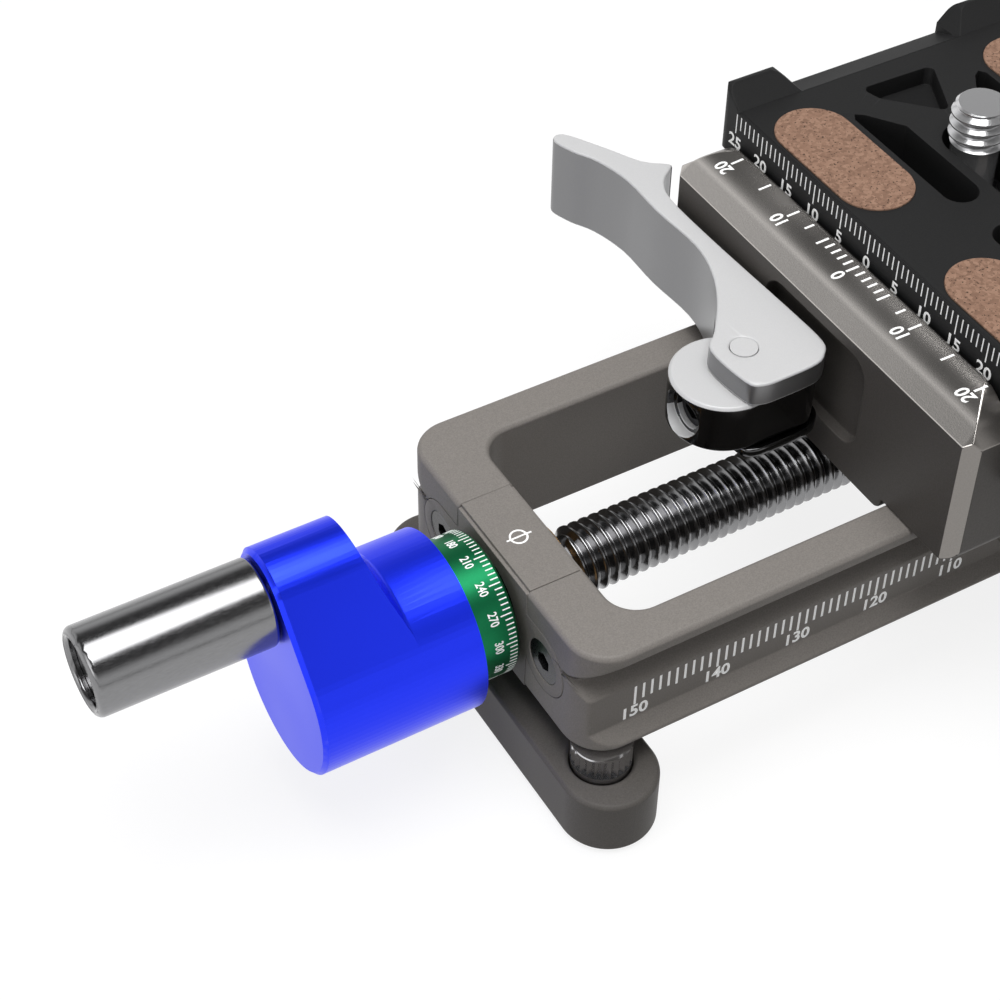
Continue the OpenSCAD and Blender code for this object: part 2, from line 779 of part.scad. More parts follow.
module nut_block() {
    half = nut_block_length / 2;
    seat = nut_block_bottom + m3_head + head_recess;
    color(body_grey) difference() {
        translate([clamp_x - half, -nut_block_half, nut_block_bottom])
            cube([nut_block_length, 2 * nut_block_half, clamp_bottom - nut_block_bottom]);
        translate([0, 0, axis_z]) x_bar(nut_d / 2 + fit_gap, clamp_x - half - cut, clamp_x + half + cut);
        for (sx = [-1, 1], sy = [-1, 1]) translate([clamp_x + sx * nut_screw_x, sy * nut_screw_y, 0]) {
            z_bar(m3_head_d / 2 + run_gap, nut_block_bottom - cut, seat);
            z_bar(m3_d / 2 + fit_gap, nut_block_bottom, clamp_bottom + cut);
        }
        translate([clamp_x, 0, axis_z]) rotate([90, 0, 0])
            z_bar(set_screw_d / 2 + fit_gap, 0, nut_block_half + cut);
    }
}

module nut_block_screws() {
    seat = nut_block_bottom + m3_head + head_recess;
    color(dark_steel) for (sx = [-1, 1], sy = [-1, 1])
        translate([clamp_x + sx * nut_screw_x, sy * nut_screw_y, seat])
            cap_screw_up(m3_d, m3_head_d, m3_head, clamp_bottom + nut_screw_thread - seat, m3_socket);
}

module drive_nut() {
    front = clamp_x - nut_block_length / 2 - nut_flange;
    color([0.72, 0.55, 0.28]) translate([0, 0, axis_z]) difference() {
        union() {
            x_bar(nut_flange_d / 2, front, front + nut_flange - fit_gap);
            x_bar(nut_d / 2, front, front + nut_length);
        }
        x_bar(thread_d / 2 + run_gap, front - cut, front + nut_length + cut);
    }
}

module nut_set_screw() {
    color(dark_steel) translate([clamp_x, 0, axis_z]) rotate([90, 0, 0]) difference() {
        z_bar(set_screw_d / 2, nut_d / 2 + fit_gap, nut_block_half - 0.5);
        translate([0, 0, nut_block_half - 2.5]) cylinder(h = 3, r = 0.85, $fn = 6);
    }
}

module jaw_guide_pins() {
    color(steel) for (s = [-1, 1]) translate([0, s * guide_pin_spread, guide_pin_z])
        x_bar(guide_pin_d / 2, guide_pin_start, clamp_rear - cut);
}

module far_jaw() {
    inner = jaw_inner;
    base = clamp_bottom + jaw_side_gap;
    color(body_grey) difference() {
        translate([clamp_rear, 0, 0]) mirror([1, 0, 0]) jaw_block(inner + lip_reach + cut,
            concat([[0, base]], edge_curve(), jaw_lip(inner), [[inner, base]]), base);
        for (s = [-1, 1]) translate([0, s * guide_pin_spread, guide_pin_z])
            x_bar(guide_pin_d / 2 + run_gap, far_jaw_front - cut, clamp_rear + cut);
        translate([0, bolt_y, bolt_z]) x_bar(bolt_d / 2 + fit_gap, far_jaw_front - cut, clamp_rear + cut);
    }
}

module tension_bolt() {
    color(steel) translate([0, bolt_y, bolt_z])
        x_bar(bolt_d / 2, pin_x + pin_d / 2 + bolt_end_gap, clamp_rear - 0.6);
}

module bolt_collar() {
    color(dark_steel) translate([0, bolt_y, bolt_z])
        x_ring(collar_r, bolt_d / 2 + fit_gap, clamp_front - trunnion_back + fit_gap,
            clamp_front + pocket_depth - jaw_travel - run_gap);
}

// The trunnion block: a round end and a straight tail towards the clamp, with bevelled rims
module trunnion_body() {
    r = trunnion_radius;
    tail = clamp_front - trunnion_back - trunnion_x;
    b = trunnion_bevel;
    h = trunnion_height;
    rotate_extrude() polygon([[0, 0], [r - b, 0], [r, b], [r, h - b], [r - b, h], [0, h]]);
    intersection() {
        linear_extrude(h) {
            translate([0, -r]) square([tail - tail_corner, r + tail_far]);
            translate([0, tail_corner - r]) square([tail, r + tail_far - 2 * tail_corner]);
            for (y = [tail_corner - r, tail_far - tail_corner])
                translate([tail - tail_corner, y]) circle(r = tail_corner);
        }
        rotate([90, 0, 90]) linear_extrude(tail)
            polygon([[b - r, 0], [tail_far - b, 0], [tail_far, b], [tail_far, h - b],
                [tail_far - b, h], [b - r, h], [-r, h - b], [-r, b]]);
    }
}

module trunnion_block() {
    color(steel) difference() {
        translate([trunnion_x, trunnion_y, trunnion_bottom]) trunnion_body();
        translate([pin_x, pin_y, 0]) z_bar(pin_d / 2 + fit_gap, trunnion_bottom - cut, trunnion_top + cut);
        translate([0, bolt_y, bolt_z]) x_bar(bolt_d / 2 + fit_gap, pin_x, clamp_front);
        translate([0, bolt_y, trunnion_mid]) {
            x_bar(trunnion_screw_d / 2 + fit_gap, trunnion_front - cut, pin_x - pin_d / 2 - fit_gap);
            x_bar(trunnion_recess_r, trunnion_front - cut, trunnion_front + trunnion_recess);
        }
    }
}

module trunnion_screw() {
    inner = pin_x - pin_d / 2 - 2 * fit_gap;
    color(dark_steel) translate([0, bolt_y, trunnion_mid]) difference() {
        x_bar(trunnion_screw_d / 2, inner - trunnion_screw_length, inner);
        x_hex(trunnion_socket, inner - trunnion_screw_length - cut, inner - trunnion_screw_length / 2);
    }
}

module lever_pin() {
    color(steel) translate([pin_x, pin_y, 0]) z_bar(pin_d / 2, lever_bottom + run_gap, lever_top - run_gap);
}

// The lever's outline seen from above, as places measured from its pin
lever_heel_points = [[-3.2, 1.3], [-2.8, -4.3], [-1.6, -5.7], [1.2, -5.9], [5.1, -5.7], [6.7, -4.8],
    [7.65, -3.2], [7.65, 1.4]];
lever_wall_points = [[7.35, 8], [7, 16.4], [7, 24.2], [8.1, 27.3], [9.9, 28.8], [10.3, 29.6],
    [7.9, 31.6], [5.5, 36], [2.9, 40.2]];
lever_outer_points = [[1.3, 39.8], [2.1, 36.9], [3.6, 34], [4.6, 29.3], [4.5, 23.1], [4.9, 16.4],
    [3.9, 11.7], [1.7, 7.4], [-1.2, 3.6]];

// A point between the two middle ones of four, on a smooth curve through them
function between(a, b, c, d, t) = 0.5 * (2 * b + (c - a) * t + (2 * a - 5 * b + 4 * c - d) * t * t
    + (3 * b - a - 3 * c + d) * t * t * t);

function smoothed(points) = let (n = len(points)) [for (i = [0:n - 1], t = [0:1 / curve_steps:0.99])
    between(points[(i + n - 1) % n], points[i], points[(i + 1) % n], points[(i + 2) % n], t)];

module lever_outline() {
    polygon(smoothed(concat(lever_heel_points, lever_wall_points, lever_outer_points)));
}

module cam_lever() {
    collar_side = bolt_y - pin_y + collar_r + collar_gap;
    slot_bottom = trunnion_bottom - run_gap;
    color([0.8, 0.8, 0.8]) translate([pin_x, pin_y, 0]) difference() {
        translate([0, 0, lever_bottom]) linear_extrude(lever_height) lever_outline();
        translate([-lever_swing_gap, -2 * lever_swing_gap, slot_bottom])
            cube([3 * lever_swing_gap, 2 * lever_swing_gap + collar_side, ear_bottom - slot_bottom]);
        z_bar(lever_swing_gap, slot_bottom, ear_bottom);
        z_bar(pin_d / 2 + run_gap, lever_bottom - cut, lever_top + cut);
    }
}

// The camera plate seen along its length
module plate_profile() {
    neck = plate_half - neck_inset;
    side = [[plate_half - small_bevel, plate_bottom], [plate_half, plate_bottom + small_bevel],
        [plate_half, plate_bottom + flange_height], [neck, plate_bottom + flange_height + neck_inset],
        [neck, undercut_bottom], [plate_half, undercut_bottom + neck_inset],
        [plate_half, plate_top - small_bevel], [plate_half - small_bevel, plate_top]];
    polygon(concat(side, [for (i = [len(side) - 1:-1:0]) [-side[i][0], side[i][1]]]));
}

// One long slot: its far tip narrows on the side of the camera screw
module long_slot() {
    r = slot_width / 2;
    translate([0, slot_near + r]) circle(r = r);
    polygon([[-r, slot_near + r], [r, slot_near + r], [r, slot_far - slot_taper],
        [-0.3 * r, slot_far - 0.3 * r], [-0.75 * r, slot_far], [-r, slot_far - 0.4 * r]]);
}

// The horn at a far corner of the plate, seen from its end and from its side
module horn() {
    top = plate_top + horn_rise;
    base = undercut_bottom + neck_inset;
    back = plate_far + horn_back;
    r = horn_round;
    foot = plate_half - horn_width - horn_foot;
    intersection() {
        rotate([90, 0, 0]) linear_extrude(plate_length + 2 * plate_far, center = true)
            polygon(concat([[plate_half, base]],
                [for (a = [0:15:90]) [plate_half - r + r * cos(a), top - r + r * sin(a)]],
                [[plate_half - horn_width + r / 2, top], [plate_half - horn_width - r / 4, top - r / 3],
                    [foot, plate_top - small_bevel], [foot, base]]));
        rotate([90, 0, 90]) linear_extrude(plate_width, center = true)
            polygon(concat([[horn_start, base], [horn_start, plate_top - fit_gap],
                [horn_start + horn_slope - small_bevel, top - small_bevel], [horn_start + horn_slope, top]],
                [for (a = [90:-15:0]) [back - r + r * cos(a), top - r + r * sin(a)]], [[back, base]]));
    }
}

// Copies a shape of the plate's pattern to its four quarters
module quarters() {
    for (sx = [0, 1], sy = [0, 1])
        translate([0, pattern_y, 0]) mirror([sx, 0, 0]) mirror([0, sy, 0]) children();
}

module camera_plate() {
    beyond = plate_far + cut;
    high = plate_height + 2 * cut;
    color(plate_black) translate([clamp_x, 0, 0]) difference() {
        intersection() {
            union() {
                difference() {
                    rotate([90, 0, 0]) linear_extrude(plate_length + 2 * plate_far, center = true)
                        plate_profile();
                    rotate([90, 0, 90]) linear_extrude(plate_width + cut, center = true)
                        polygon([[horn_start, plate_top], [beyond, plate_top - edge_fall],
                            [beyond, plate_top + cut], [horn_start, plate_top + cut]]);
                }
                for (s = [0, 1]) mirror([s, 0, 0]) horn();
            }
            translate([0, plate_middle + horn_back / 2, plate_bottom - cut])
                round_block(plate_width, plate_length + horn_back, plate_corner,
                    [[0, 0], [0, high + horn_rise]]);
        }
        quarters() {
            translate([-slot_offset, 0, plate_bottom - cut]) linear_extrude(high) long_slot();
            translate([pad_offset_x, pad_offset_y, plate_top - pad_sink]) rotate([0, 0, 90])
                stadium(pad_length + 2 * fit_gap, pad_width + 2 * fit_gap, pad_sink + cut);
        }
        translate([0, pattern_y, plate_bottom - cut]) {
            round_block(screw_slot_width, 2 * screw_slot_half, screw_slot_width / 2 - fit_gap / 2,
                [[0, 0], [0, high]]);
            translate([-channel_half, -channel_end, 0])
                cube([2 * channel_half, 2 * channel_end, channel_top - plate_bottom + cut]);
        }
        for (s = [0, 1]) translate([0, pattern_y, plate_top - pocket_floor]) mirror([0, s, 0])
            linear_extrude(pocket_floor + cut) offset(r = pocket_round, $fn = 24) polygon(pocket_points);
    }
}

// A flat bar with round ends, along X
module stadium(length, width, height) {
    r = width / 2;
    for (s = [-1, 1]) translate([s * (length / 2 - r), 0, 0]) cylinder(h = height, r = r);
    translate([r - length / 2, -r, 0]) cube([length - width, width, height]);
}

module cork_pads() {
    color([0.6, 0.42, 0.3]) translate([clamp_x, 0, plate_top - pad_sink]) quarters()
        translate([pad_offset_x, pad_offset_y, 0]) rotate([0, 0, 90])
            stadium(pad_length, pad_width, pad_sink + pad_proud);
}

module screw_collar() {
    color(dark_steel) translate([clamp_x, camera_screw_y, 0]) difference() {
        translate([-collar_half, -collar_half, channel_top - run_gap - collar_height])
            cube([2 * collar_half, 2 * collar_half, collar_height]);
        z_bar(camera_screw_d / 2 + run_gap, plate_bottom, plate_top);
    }
}

module camera_screw() {
    seat = channel_top - 2 * run_gap - collar_height;
    tip = plate_top + camera_screw_reach;
    tip_bevel = 0.6;
    neck_end = plate_top + screw_neck_gap;
    color(steel) translate([clamp_x, camera_screw_y, 0]) difference() {
        union() {
            z_bar(camera_head_d / 2, seat - camera_head, seat);
            z_bar(screw_neck_d / 2, seat - cut, neck_end + cut);
            z_bar(camera_screw_d / 2, neck_end, tip - tip_bevel);
            translate([0, 0, tip - tip_bevel])
                cylinder(h = tip_bevel, r1 = camera_screw_d / 2, r2 = camera_screw_d / 2 - tip_bevel);
        }
        translate([0, 0, seat - camera_head - cut])
            cylinder(h = cut + camera_head * 0.7, r = camera_socket / 2 / cos(30), $fn = 6);
    }
}

// A swing-out foot that reaches from its post across under the rail, drawn for the front end
module foot_bar() {
    bar_end = foot_span + 2 * foot_r;
    color(body_grey) difference() {
        translate([0, bar_end / 2 - foot_start, 0]) rotate([0, 0, 90])
            round_block(bar_end, foot_width, foot_r - fit_gap / 2, bevelled(foot_bottom, foot_top, foot_bevel));
        z_bar(post_r + foot_hole_gap, foot_bottom + foot_head_sink - cut, foot_top + cut);
        z_bar(foot_head_d / 2 + run_gap, foot_bottom - cut, foot_bottom + foot_head_sink);
        translate([0, 0, foot_top - hole_bevel]) cylinder(h = hole_bevel + fit_gap,
            r1 = post_r + foot_hole_gap, r2 = post_r + foot_hole_gap + hole_bevel);
        translate([0, foot_pad_middle, foot_bottom - cut]) rotate([0, 0, 90])
            stadium(foot_pad_length, foot_width - 2 * foot_pad_inset, foot_pad_sink + cut);
    }
}

// The splined post screwed into the rail, with its foot's bearing below the splines
module foot_post() {
    plain = foot_top + spline_end;
    tip = post_r - fit_gap;
    valley = post_r - spline_depth;
    step = 360 / spline_count;
    color(steel) difference() {
        union() {
            z_bar(post_r, foot_bottom + foot_head_sink + 2 * run_gap, plain);
            translate([0, 0, plain - small_bevel]) linear_extrude(small_bevel / 2 - plain)
                polygon([for (i = [0:spline_count - 1], k = [0, 1])
                    let (a = step * (i + k / 2), r = k == 0 ? tip : valley) [r * cos(a), r * sin(a)]]);
            z_bar(post_r, -small_bevel, -fit_gap);
            translate([post_stub_x, post_stub_y, 0]) z_bar(post_stub_d / 2, -cut, post_seat_depth);
        }
        z_bar(foot_screw_d / 2 + fit_gap, foot_bottom, foot_bottom + foot_head_sink + foot_screw_length + fit_gap);
    }
}

module foot_screw() {
    seat = foot_bottom + foot_head_sink - run_gap;
    color(dark_steel) translate([0, 0, seat])
        cap_screw_up(foot_screw_d, foot_head_d, foot_head, foot_screw_length, foot_socket);
}

module foot_pad() {
    width = foot_width - 2 * foot_pad_inset - 2 * fit_gap;
    color([0.1, 0.1, 0.1]) translate([0, foot_pad_middle, foot_bottom - foot_pad_proud]) rotate([0, 0, 90])
        stadium(foot_pad_length - 2 * fit_gap, width, foot_pad_sink + foot_pad_proud - fit_gap);
}

// Places a foot's piece at the front, on the near side
module at_front() {
    translate([-foot_x, -foot_y, 0]) children();
}

// Places a foot's piece at the rear, on the far side
module at_rear() {
    translate([foot_x, foot_y, 0]) rotate([0, 0, 180]) children();
}

module front_foot_bar() { at_front() foot_bar(); }
module front_foot_post() { at_front() foot_post(); }
module front_foot_screw() { at_front() foot_screw(); }
module front_foot_pad() { at_front() foot_pad(); }
module rear_foot_bar() { at_rear() foot_bar(); }
module rear_foot_post() { at_rear() foot_post(); }
module rear_foot_screw() { at_rear() foot_screw(); }
module rear_foot_pad() { at_rear() foot_pad(); }

rail_frame();
front_bearing_block();
block_screws();
front_bearing();
rear_bearing();
rear_end_cap();
lead_screw();
thrust_washer();
shaft_spacer();
dial_ring();
crank_knob();
knob_set_screw();
handle_grip();
handle_shoulder_screw();
clamp_body();
near_gib();
far_gib();
gib_screws();
nut_block();
nut_block_screws();
drive_nut();
nut_set_screw();
jaw_guide_pins();
far_jaw();
tension_bolt();
bolt_collar();
trunnion_block();
trunnion_screw();
lever_pin();
cam_lever();
camera_plate();
cork_pads();
screw_collar();
camera_screw();
front_foot_bar();
front_foot_post();
front_foot_screw();
front_foot_pad();
rear_foot_bar();
rear_foot_post();
rear_foot_screw();
rear_foot_pad();
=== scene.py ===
# %% [markdown]
# # A macro focusing rail, dressed in Blender
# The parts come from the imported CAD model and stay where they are. This script gives them soft
# edges, real threads, painted scales and finishes, then sets the light. All lengths are in
# millimetres until they meet Blender, which works in metres.

# %% Load the frame
import json
import math

import bpy
from mathutils import Matrix, Vector

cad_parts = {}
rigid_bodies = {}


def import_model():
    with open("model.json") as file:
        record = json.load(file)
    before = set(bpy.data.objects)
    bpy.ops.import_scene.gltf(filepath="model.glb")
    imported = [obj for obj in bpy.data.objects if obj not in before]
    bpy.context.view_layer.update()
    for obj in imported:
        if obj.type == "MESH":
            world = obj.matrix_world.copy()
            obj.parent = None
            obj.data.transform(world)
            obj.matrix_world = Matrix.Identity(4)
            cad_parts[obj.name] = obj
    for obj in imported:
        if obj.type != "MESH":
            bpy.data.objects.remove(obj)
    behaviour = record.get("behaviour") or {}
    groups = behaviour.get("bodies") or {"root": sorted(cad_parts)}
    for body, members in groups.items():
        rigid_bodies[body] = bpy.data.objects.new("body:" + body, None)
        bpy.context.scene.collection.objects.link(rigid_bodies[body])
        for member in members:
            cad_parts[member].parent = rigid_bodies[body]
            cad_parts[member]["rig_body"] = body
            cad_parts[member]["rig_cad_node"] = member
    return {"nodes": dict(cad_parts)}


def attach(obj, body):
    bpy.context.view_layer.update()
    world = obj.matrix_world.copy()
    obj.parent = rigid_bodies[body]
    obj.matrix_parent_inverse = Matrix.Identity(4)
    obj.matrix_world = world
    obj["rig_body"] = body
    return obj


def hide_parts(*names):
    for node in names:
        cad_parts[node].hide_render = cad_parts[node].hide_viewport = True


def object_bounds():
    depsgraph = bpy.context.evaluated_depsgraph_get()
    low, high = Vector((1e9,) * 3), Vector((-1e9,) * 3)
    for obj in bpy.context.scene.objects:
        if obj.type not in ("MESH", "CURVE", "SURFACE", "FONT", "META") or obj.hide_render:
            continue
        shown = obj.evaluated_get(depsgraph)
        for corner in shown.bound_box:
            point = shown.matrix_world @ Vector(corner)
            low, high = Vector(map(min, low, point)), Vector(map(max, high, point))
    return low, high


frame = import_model()
cad_low, cad_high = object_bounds()
MM = 0.001
print("CAD box in mm:", [round(v / MM, 2) for v in (cad_high - cad_low)])

# %% [markdown]
# The camera comes first, because every later choice is checked against the picture. It stands
# at the knob's end, a little to the near side, and looks down at about 45 degrees. Its place
# was worked out from the millimetres marked on the rail.

# %% Camera
CAMERA_PLACE = Vector((-161.52, -135.71, 179.85)) * MM
AZIMUTH, ELEVATION, ROLL = (math.radians(a) for a in (30.8017, 45.199, 0.9174))
LENS, SENSOR = 81.55, 36.0
NEAREST, FARTHEST = 0.01, 10

forward = Vector((math.sin(AZIMUTH) * math.cos(ELEVATION),
                  math.cos(AZIMUTH) * math.cos(ELEVATION), -math.sin(ELEVATION)))
level = Vector((math.cos(AZIMUTH), -math.sin(AZIMUTH), 0))
down = forward.cross(level)
right = level * math.cos(ROLL) - down * math.sin(ROLL)
below = level * math.sin(ROLL) + down * math.cos(ROLL)

bpy.ops.object.camera_add(location=CAMERA_PLACE)
camera = bpy.context.object
camera.rotation_euler = Matrix((right, -below, -forward)).transposed().to_euler()
camera.data.lens = LENS
camera.data.sensor_width = SENSOR
camera.data.clip_start, camera.data.clip_end = NEAREST, FARTHEST
bpy.context.scene.camera = camera
print("camera looks along", [round(v, 3) for v in forward])

# %% [markdown]
# A few helpers for working as by hand: one object is picked, operators act on it, and modifiers
# are applied. Everything is deselected first, because an operator acts on all that is selected.
# Merging is by distance, so each use says how close two vertices have to be.

# %% Picking and applying
HAIR = 0.0005


def pick(*objects):
    """Selects only these objects and makes the last one active."""
    if bpy.context.object and bpy.context.object.mode != "OBJECT":
        bpy.ops.object.mode_set(mode="OBJECT")
    bpy.ops.object.select_all(action="DESELECT")
    for chosen in objects:
        chosen.select_set(True)
    bpy.context.view_layer.objects.active = objects[-1]


def open_mesh(piece, merge=None):
    """Enters edit mode with all of a piece selected, and merges vertices closer than merge."""
    pick(piece)
    bpy.ops.object.mode_set(mode="EDIT")
    bpy.ops.mesh.select_all(action="SELECT")
    if merge:
        bpy.ops.mesh.remove_doubles(threshold=merge * MM)


def close_mesh():
    bpy.ops.object.mode_set(mode="OBJECT")


def settle(piece):
    """Puts the piece's place into its mesh, as a CAD node's is."""
    pick(piece)
    bpy.ops.object.transform_apply(location=True, rotation=True, scale=True)
    return piece


def with_modifier(piece, kind, **settings):
    """Adds a modifier, sets it and applies it."""
    pick(piece)
    bpy.ops.object.modifier_add(type=kind)
    modifier = piece.modifiers[-1]
    for key, value in settings.items():
        setattr(modifier, key, value)
    bpy.ops.object.modifier_apply(modifier=modifier.name)
    return piece


def joined(name, pieces):
    """Joins pieces into one object of that name."""
    pick(*pieces)
    if len(pieces) > 1:
        bpy.ops.object.join()
    whole = bpy.context.object
    whole.name = whole.data.name = name
    return settle(whole)


def dressed(piece, finish):
    """Gives a piece one finish in place of what it had."""
    piece.data.materials.clear()
    piece.data.materials.append(finish)
    return piece


print("helpers are ready")

# %% [markdown]
# Every finish is a small node tree that reads Object coordinates, so a pattern stays on its
# piece. A metal finish has three layers: grain that mottles the colour, the same grain as bump,
# and a slow cloud in the roughness, which keeps a large face from looking like plastic.

# %% Node helpers


def new_finish(name, **sockets):
    """A material with a Principled shader whose plain sockets are set directly."""
    material = bpy.data.materials.new(name)
    material.use_nodes = True
    shader = material.node_tree.nodes["Principled BSDF"]
    for key, value in sockets.items():
        socket = shader.inputs[key.replace("_", " ")]
        socket.default_value = (*value, 1) if isinstance(value, tuple) else value
    material.diffuse_color = (*sockets.get("Base_Color", (0.5, 0.5, 0.5)), 1)
    return material


def node(owner, kind, **values):
    """Adds a node to a material or world and sets its attributes."""
    made = owner.node_tree.nodes.new(kind)
    for key, value in values.items():
        setattr(made, key, value)
    return made


def wire(owner, source, target):
    owner.node_tree.links.new(source, target)


def grain(material, scale, detail=2.0, stretch=(1, 1, 1)):
    """Noise on Object coordinates. Its scale is in blobs to the millimetre."""
    place = node(material, "ShaderNodeTexCoord")
    mapping = node(material, "ShaderNodeMapping")
    mapping.inputs["Scale"].default_value = stretch
    wire(material, place.outputs["Object"], mapping.inputs["Vector"])
    noise = node(material, "ShaderNodeTexNoise")
    noise.inputs["Scale"].default_value = scale / MM
    noise.inputs["Detail"].default_value = detail
    wire(material, mapping.outputs["Vector"], noise.inputs["Vector"])
    return noise.outputs["Fac"]


def ramp(owner, value, stops):
    """Turns a value into a colour by stops of (place, colour)."""
    made = node(owner, "ShaderNodeValToRGB")
    while len(made.color_ramp.elements) < len(stops):
        made.color_ramp.elements.new(0.5)
    for element, (place, colour) in zip(made.color_ramp.elements, stops):
        element.position = place
        element.color = (*colour, 1)
    wire(owner, value, made.inputs["Fac"])
    return made.outputs["Color"]


def shader_of(material):
    return material.node_tree.nodes["Principled BSDF"]


def feed(material, socket, value, stops):
    """Feeds a socket of the shader with a value turned into a colour by stops."""
    wire(material, ramp(material, value, stops), shader_of(material).inputs[socket])


def bump(material, height, strength, distance):
    """Dents the surface by a height, over a distance in millimetres."""
    made = node(material, "ShaderNodeBump")
    made.inputs["Strength"].default_value = strength
    made.inputs["Distance"].default_value = distance * MM
    wire(material, height, made.inputs["Height"])
    wire(material, made.outputs["Normal"], shader_of(material).inputs["Normal"])


def tinted(colour, share):
    return tuple(channel * share for channel in colour)


print("node helpers are ready")


# %% [markdown]
# Bead blasting leaves fine dimples about a tenth of a millimetre wide, and the dye lies a
# little lighter on their rims. The turned and polished parts have long fine scratches instead,
# so their noise is stretched along or around the piece.

# %% Finishes
FINE_GRAIN, CLOUD_GRAIN, LINE_GRAIN = 7.0, 0.06, 9.0
CLOUD_DEPTH, DIMPLE, SCRATCH = 0.04, 0.02, 0.004


def blasted(name, colour, metallic, roughness, fleck=0.12, depth=0.5, shine=0.5, coat=0.0):
    """Bead-blasted and anodised aluminium, its colour varying by fleck either way."""
    material = new_finish(name, Base_Color=colour, Metallic=metallic, Roughness=roughness,
                          Specular_IOR_Level=shine, Coat_Weight=coat, Coat_Roughness=0.3)
    fine = grain(material, FINE_GRAIN, 3.0)
    feed(material, "Base Color", fine,
         [(0.3, tinted(colour, 1 - fleck)), (0.7, tinted(colour, 1 + fleck))])
    feed(material, "Roughness", grain(material, CLOUD_GRAIN, 1.0),
         [(0.35, (roughness - CLOUD_DEPTH,) * 3), (0.65, (roughness + CLOUD_DEPTH,) * 3)])
    bump(material, fine, depth, DIMPLE)
    return material


def polished(name, colour, roughness=0.2, stretch=(0.1, 1, 1), depth=0.15, metallic=1.0):
    """Turned or polished steel with fine lines along one way."""
    material = new_finish(name, Base_Color=colour, Metallic=metallic, Roughness=roughness)
    lines = grain(material, LINE_GRAIN, 2.0, stretch)
    feed(material, "Base Color", lines, [(0.3, tinted(colour, 0.93)), (0.7, tinted(colour, 1.05))])
    feed(material, "Roughness", lines,
         [(0.3, (roughness * 0.8,) * 3), (0.7, (roughness * 1.2,) * 3)])
    bump(material, lines, depth, SCRATCH)
    return material


print("two kinds of metal are ready")

# %% [markdown]
# Each colour was set by comparing a render with the picture, patch by patch. The greys are
# nearly without metal in them, because blasted anodising scatters light as paint does.

# %% The metals
grey = blasted("blasted_grey", (0.225, 0.208, 0.192), 0.05, 0.5, shine=0.2)
clamp_grey = blasted("dark_grey", (0.085, 0.078, 0.072), 0.05, 0.5, shine=0.2)
# A darker grey for the foot bars, which lie under the rail: painted shade.
foot_painted_shade = blasted("foot_painted_shade", (0.105, 0.097, 0.09), 0.05, 0.5, shine=0.2)
# A middle grey for the clamp's upright chamfers, where it is a painted highlight, and for the
# lip's end slopes, where it is painted shade.
corner_painted_light = blasted("corner_painted_light", (0.24, 0.225, 0.21), 0.9, 0.34, 0.06, 0.2)
# A lighter, glossier copy of the clamp's grey for the lip's upward faces: painted light.
lip_painted_light = blasted("glossy_lip_painted_light", (0.62, 0.59, 0.56), 1.0, 0.24, 0.06, 0.2)
green = blasted("green_anodised", (0.01, 0.2, 0.075), 0.9, 0.36, 0.05, 0.15)
blue = blasted("blue_anodised", (0.008, 0.034, 1.0), 0.8, 0.34, 0.02, 0.1, coat=0.15)
black = blasted("black_anodised", (0.0105, 0.0105, 0.0108), 0.0, 0.6, 0.15, 0.6, shine=0.25)
silver = blasted("satin_silver", (0.62, 0.62, 0.625), 0.1, 0.42, 0.02, 0.1, shine=0.3)
# A darker copy of the satin silver for the lever's upright sides: painted shade.
painted_shade_silver = blasted("satin_silver_painted_shade", (0.24, 0.24, 0.245), 0.8, 0.34, 0.02, 0.1)
steel = polished("polished_steel", (0.26, 0.26, 0.265), 0.2)
screw_steel = polished("bright_screw_steel", (0.7, 0.7, 0.71), 0.2, (1, 1, 1), 0.01, 0.8)
handle_steel = polished("turned_handle_steel", (0.24, 0.24, 0.245), 0.2, (0.15, 1, 1))
chrome = polished("bright_chrome", (0.6, 0.6, 0.61), 0.1, (1, 1, 0.2), 0.08)
# A black polish for the trunnion block's sides and the lever's lower ear: painted shade.
painted_shade_polish = polished("dark_polish_painted_shade", (0.09, 0.09, 0.092), 0.14, (1, 1, 0.2), 0.05)
black_steel = polished("blackened_steel", (0.035, 0.035, 0.037), 0.3, (1, 1, 1), 0.2, 0.8)
bronze = polished("bearing_bronze", (0.55, 0.33, 0.14), 0.3)
print("metals:", [metal.name for metal in bpy.data.materials])

# %% [markdown]
# The paint of the scales glows a little, so that thin lines stay white. The rubber is dull.

# %% Paint and rubber
paint = new_finish("white_paint", Base_Color=(0.86, 0.86, 0.85), Roughness=0.5,
                   Emission_Color=(1, 1, 1), Emission_Strength=0.22)
feed(paint, "Base Color", grain(paint, 12.0), [(0.3, (0.8, 0.8, 0.79)), (0.7, (0.9, 0.9, 0.89))])
rubber = new_finish("black_rubber", Base_Color=(0.02, 0.02, 0.02), Roughness=0.8)
bump(rubber, grain(rubber, 4.0), 0.5, 0.03)
print("more finishes:", paint.name, rubber.name)

# %% [markdown]
# Cork is pressed from granules under half a millimetre across. Voronoi cells give each granule
# its own brown, and a few dark specks of bark lie between them.

